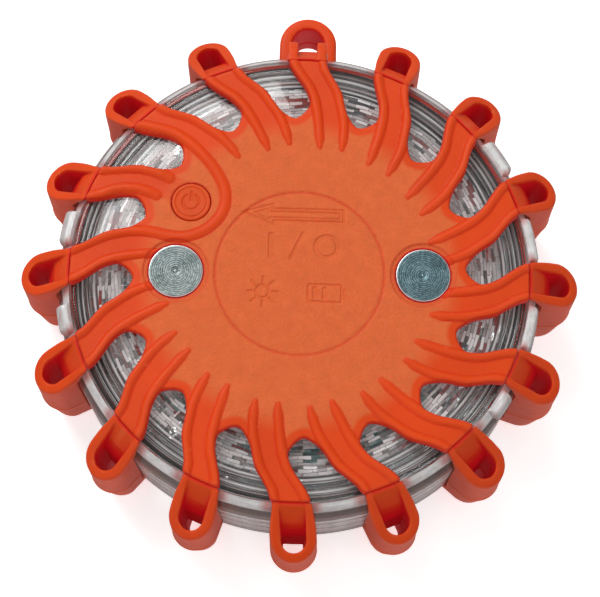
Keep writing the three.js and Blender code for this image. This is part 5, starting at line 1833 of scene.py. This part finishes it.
cam_data = bpy.data.cameras.new("camera")
cam_data.sensor_width = 36.0
cam_data.lens = 102.4
cam_data.dof.use_dof = False
cam_data.clip_start, cam_data.clip_end = 0.01, 20.0
camera = bpy.data.objects.new("camera", cam_data)
bpy.context.scene.collection.objects.link(camera)
forward = Vector((-0.0047, 0.2726, -0.9621)).normalized()
right = forward.cross(Vector((0, 0, 1))).normalized()
up = right.cross(forward).normalized()
roll = math.radians(1.07)
r2 = right * math.cos(roll) + up * math.sin(roll)
u2 = r2.cross(forward).normalized()
camera.matrix_world = Matrix(
    (
        (r2.x, u2.x, -forward.x, 0.0018),
        (r2.y, u2.y, -forward.y, -0.0929),
        (r2.z, u2.z, -forward.z, 0.3414),
        (0, 0, 0, 1),
    )
)
bpy.context.scene.camera = camera

floor_mat = Mat("pale_floor")
fn = floor_mat.noise(3.0, 2, 0.5)
fc = floor_mat.ramp(fn, [(0.3, (0.86, 0.86, 0.86)), (0.7, (0.885, 0.885, 0.885))])
flp = floor_mat.n("ShaderNodeLightPath")
fdim = floor_mat.mix((flp, "Is Camera Ray"), (0.5, 0.5, 0.5), (fc, "Color"))
floor_mat.link(fdim, 2, floor_mat.b, "Base Color")
floor_mat.set(Roughness=0.85, Specular_IOR_Level=0.1, Emission_Strength=0.34)
floor_mat.b.inputs["Emission Color"].default_value = (1, 1, 1, 1)
# a lit table: it glows to the eye, and only faintly on the object
fl = floor_mat.n("ShaderNodeLightPath")
fe = floor_mat.remap(fl, "Is Camera Ray", 0.0, 1.0, 0.05, 0.6)
floor_mat.link(fe, "Result", floor_mat.b, "Emission Strength")
# seen only from above, so that a view from underneath shows the object
fg = floor_mat.n("ShaderNodeNewGeometry")
under = floor_mat.math("MAXIMUM", (fg, "Backfacing"), (flp, "Is Shadow Ray"))
ft = floor_mat.n("ShaderNodeBsdfTransparent")
fx = floor_mat.n("ShaderNodeMixShader")
floor_mat.t.links.new(under.outputs[0], fx.inputs[0])
floor_mat.t.links.new(floor_mat.b.outputs[0], fx.inputs[1])
floor_mat.t.links.new(ft.outputs[0], fx.inputs[2])
floor_mat.t.links.new(fx.outputs[0], floor_mat.out.inputs["Surface"])
fme = bpy.data.meshes.new("floor")
fme.from_pydata([(-3, -3, -0.00012), (3, -3, -0.00012), (3, 3, -0.00012), (-3, 3, -0.00012)], [], [(0, 1, 2, 3)])
fme.materials.append(floor_mat.done())
floor = bpy.data.objects.new("floor", fme)
bpy.context.scene.collection.objects.link(floor)


def area_light(name, place, target, size, watts, size_y=None):
    d = bpy.data.lights.new(name, "AREA")
    d.shape = "RECTANGLE"
    d.size = size
    d.size_y = size_y or size
    d.energy = watts
    o = bpy.data.objects.new(name, d)
    bpy.context.scene.collection.objects.link(o)
    o.location = place
    o.rotation_mode = "QUATERNION"
    o.rotation_quaternion = (Vector(target) - Vector(place)).to_track_quat("-Z", "Y")
    return o


area_light("key", (-0.28, 0.42, 0.62), (0, 0, 0.02), 0.45, 3.7)
area_light("fill", (0.45, -0.30, 0.55), (0, 0, 0.02), 0.6, 1.0)
area_light("front_fill", (-0.40, -0.45, 0.35), (0, 0, 0.02), 0.5, 0.6)
area_light("underside", (0.10, -0.15, -0.50), (0, 0, 0.0), 0.5, 1.6).visible_camera = False

world = bpy.data.worlds.new("soft_room")
world.use_nodes = True
bg = world.node_tree.nodes["Background"]
bg.inputs["Color"].default_value = (1, 1, 1, 1)
bg.inputs["Strength"].default_value = 0.36
bpy.context.scene.world = world
bpy.context.scene.view_settings.view_transform = "Standard"
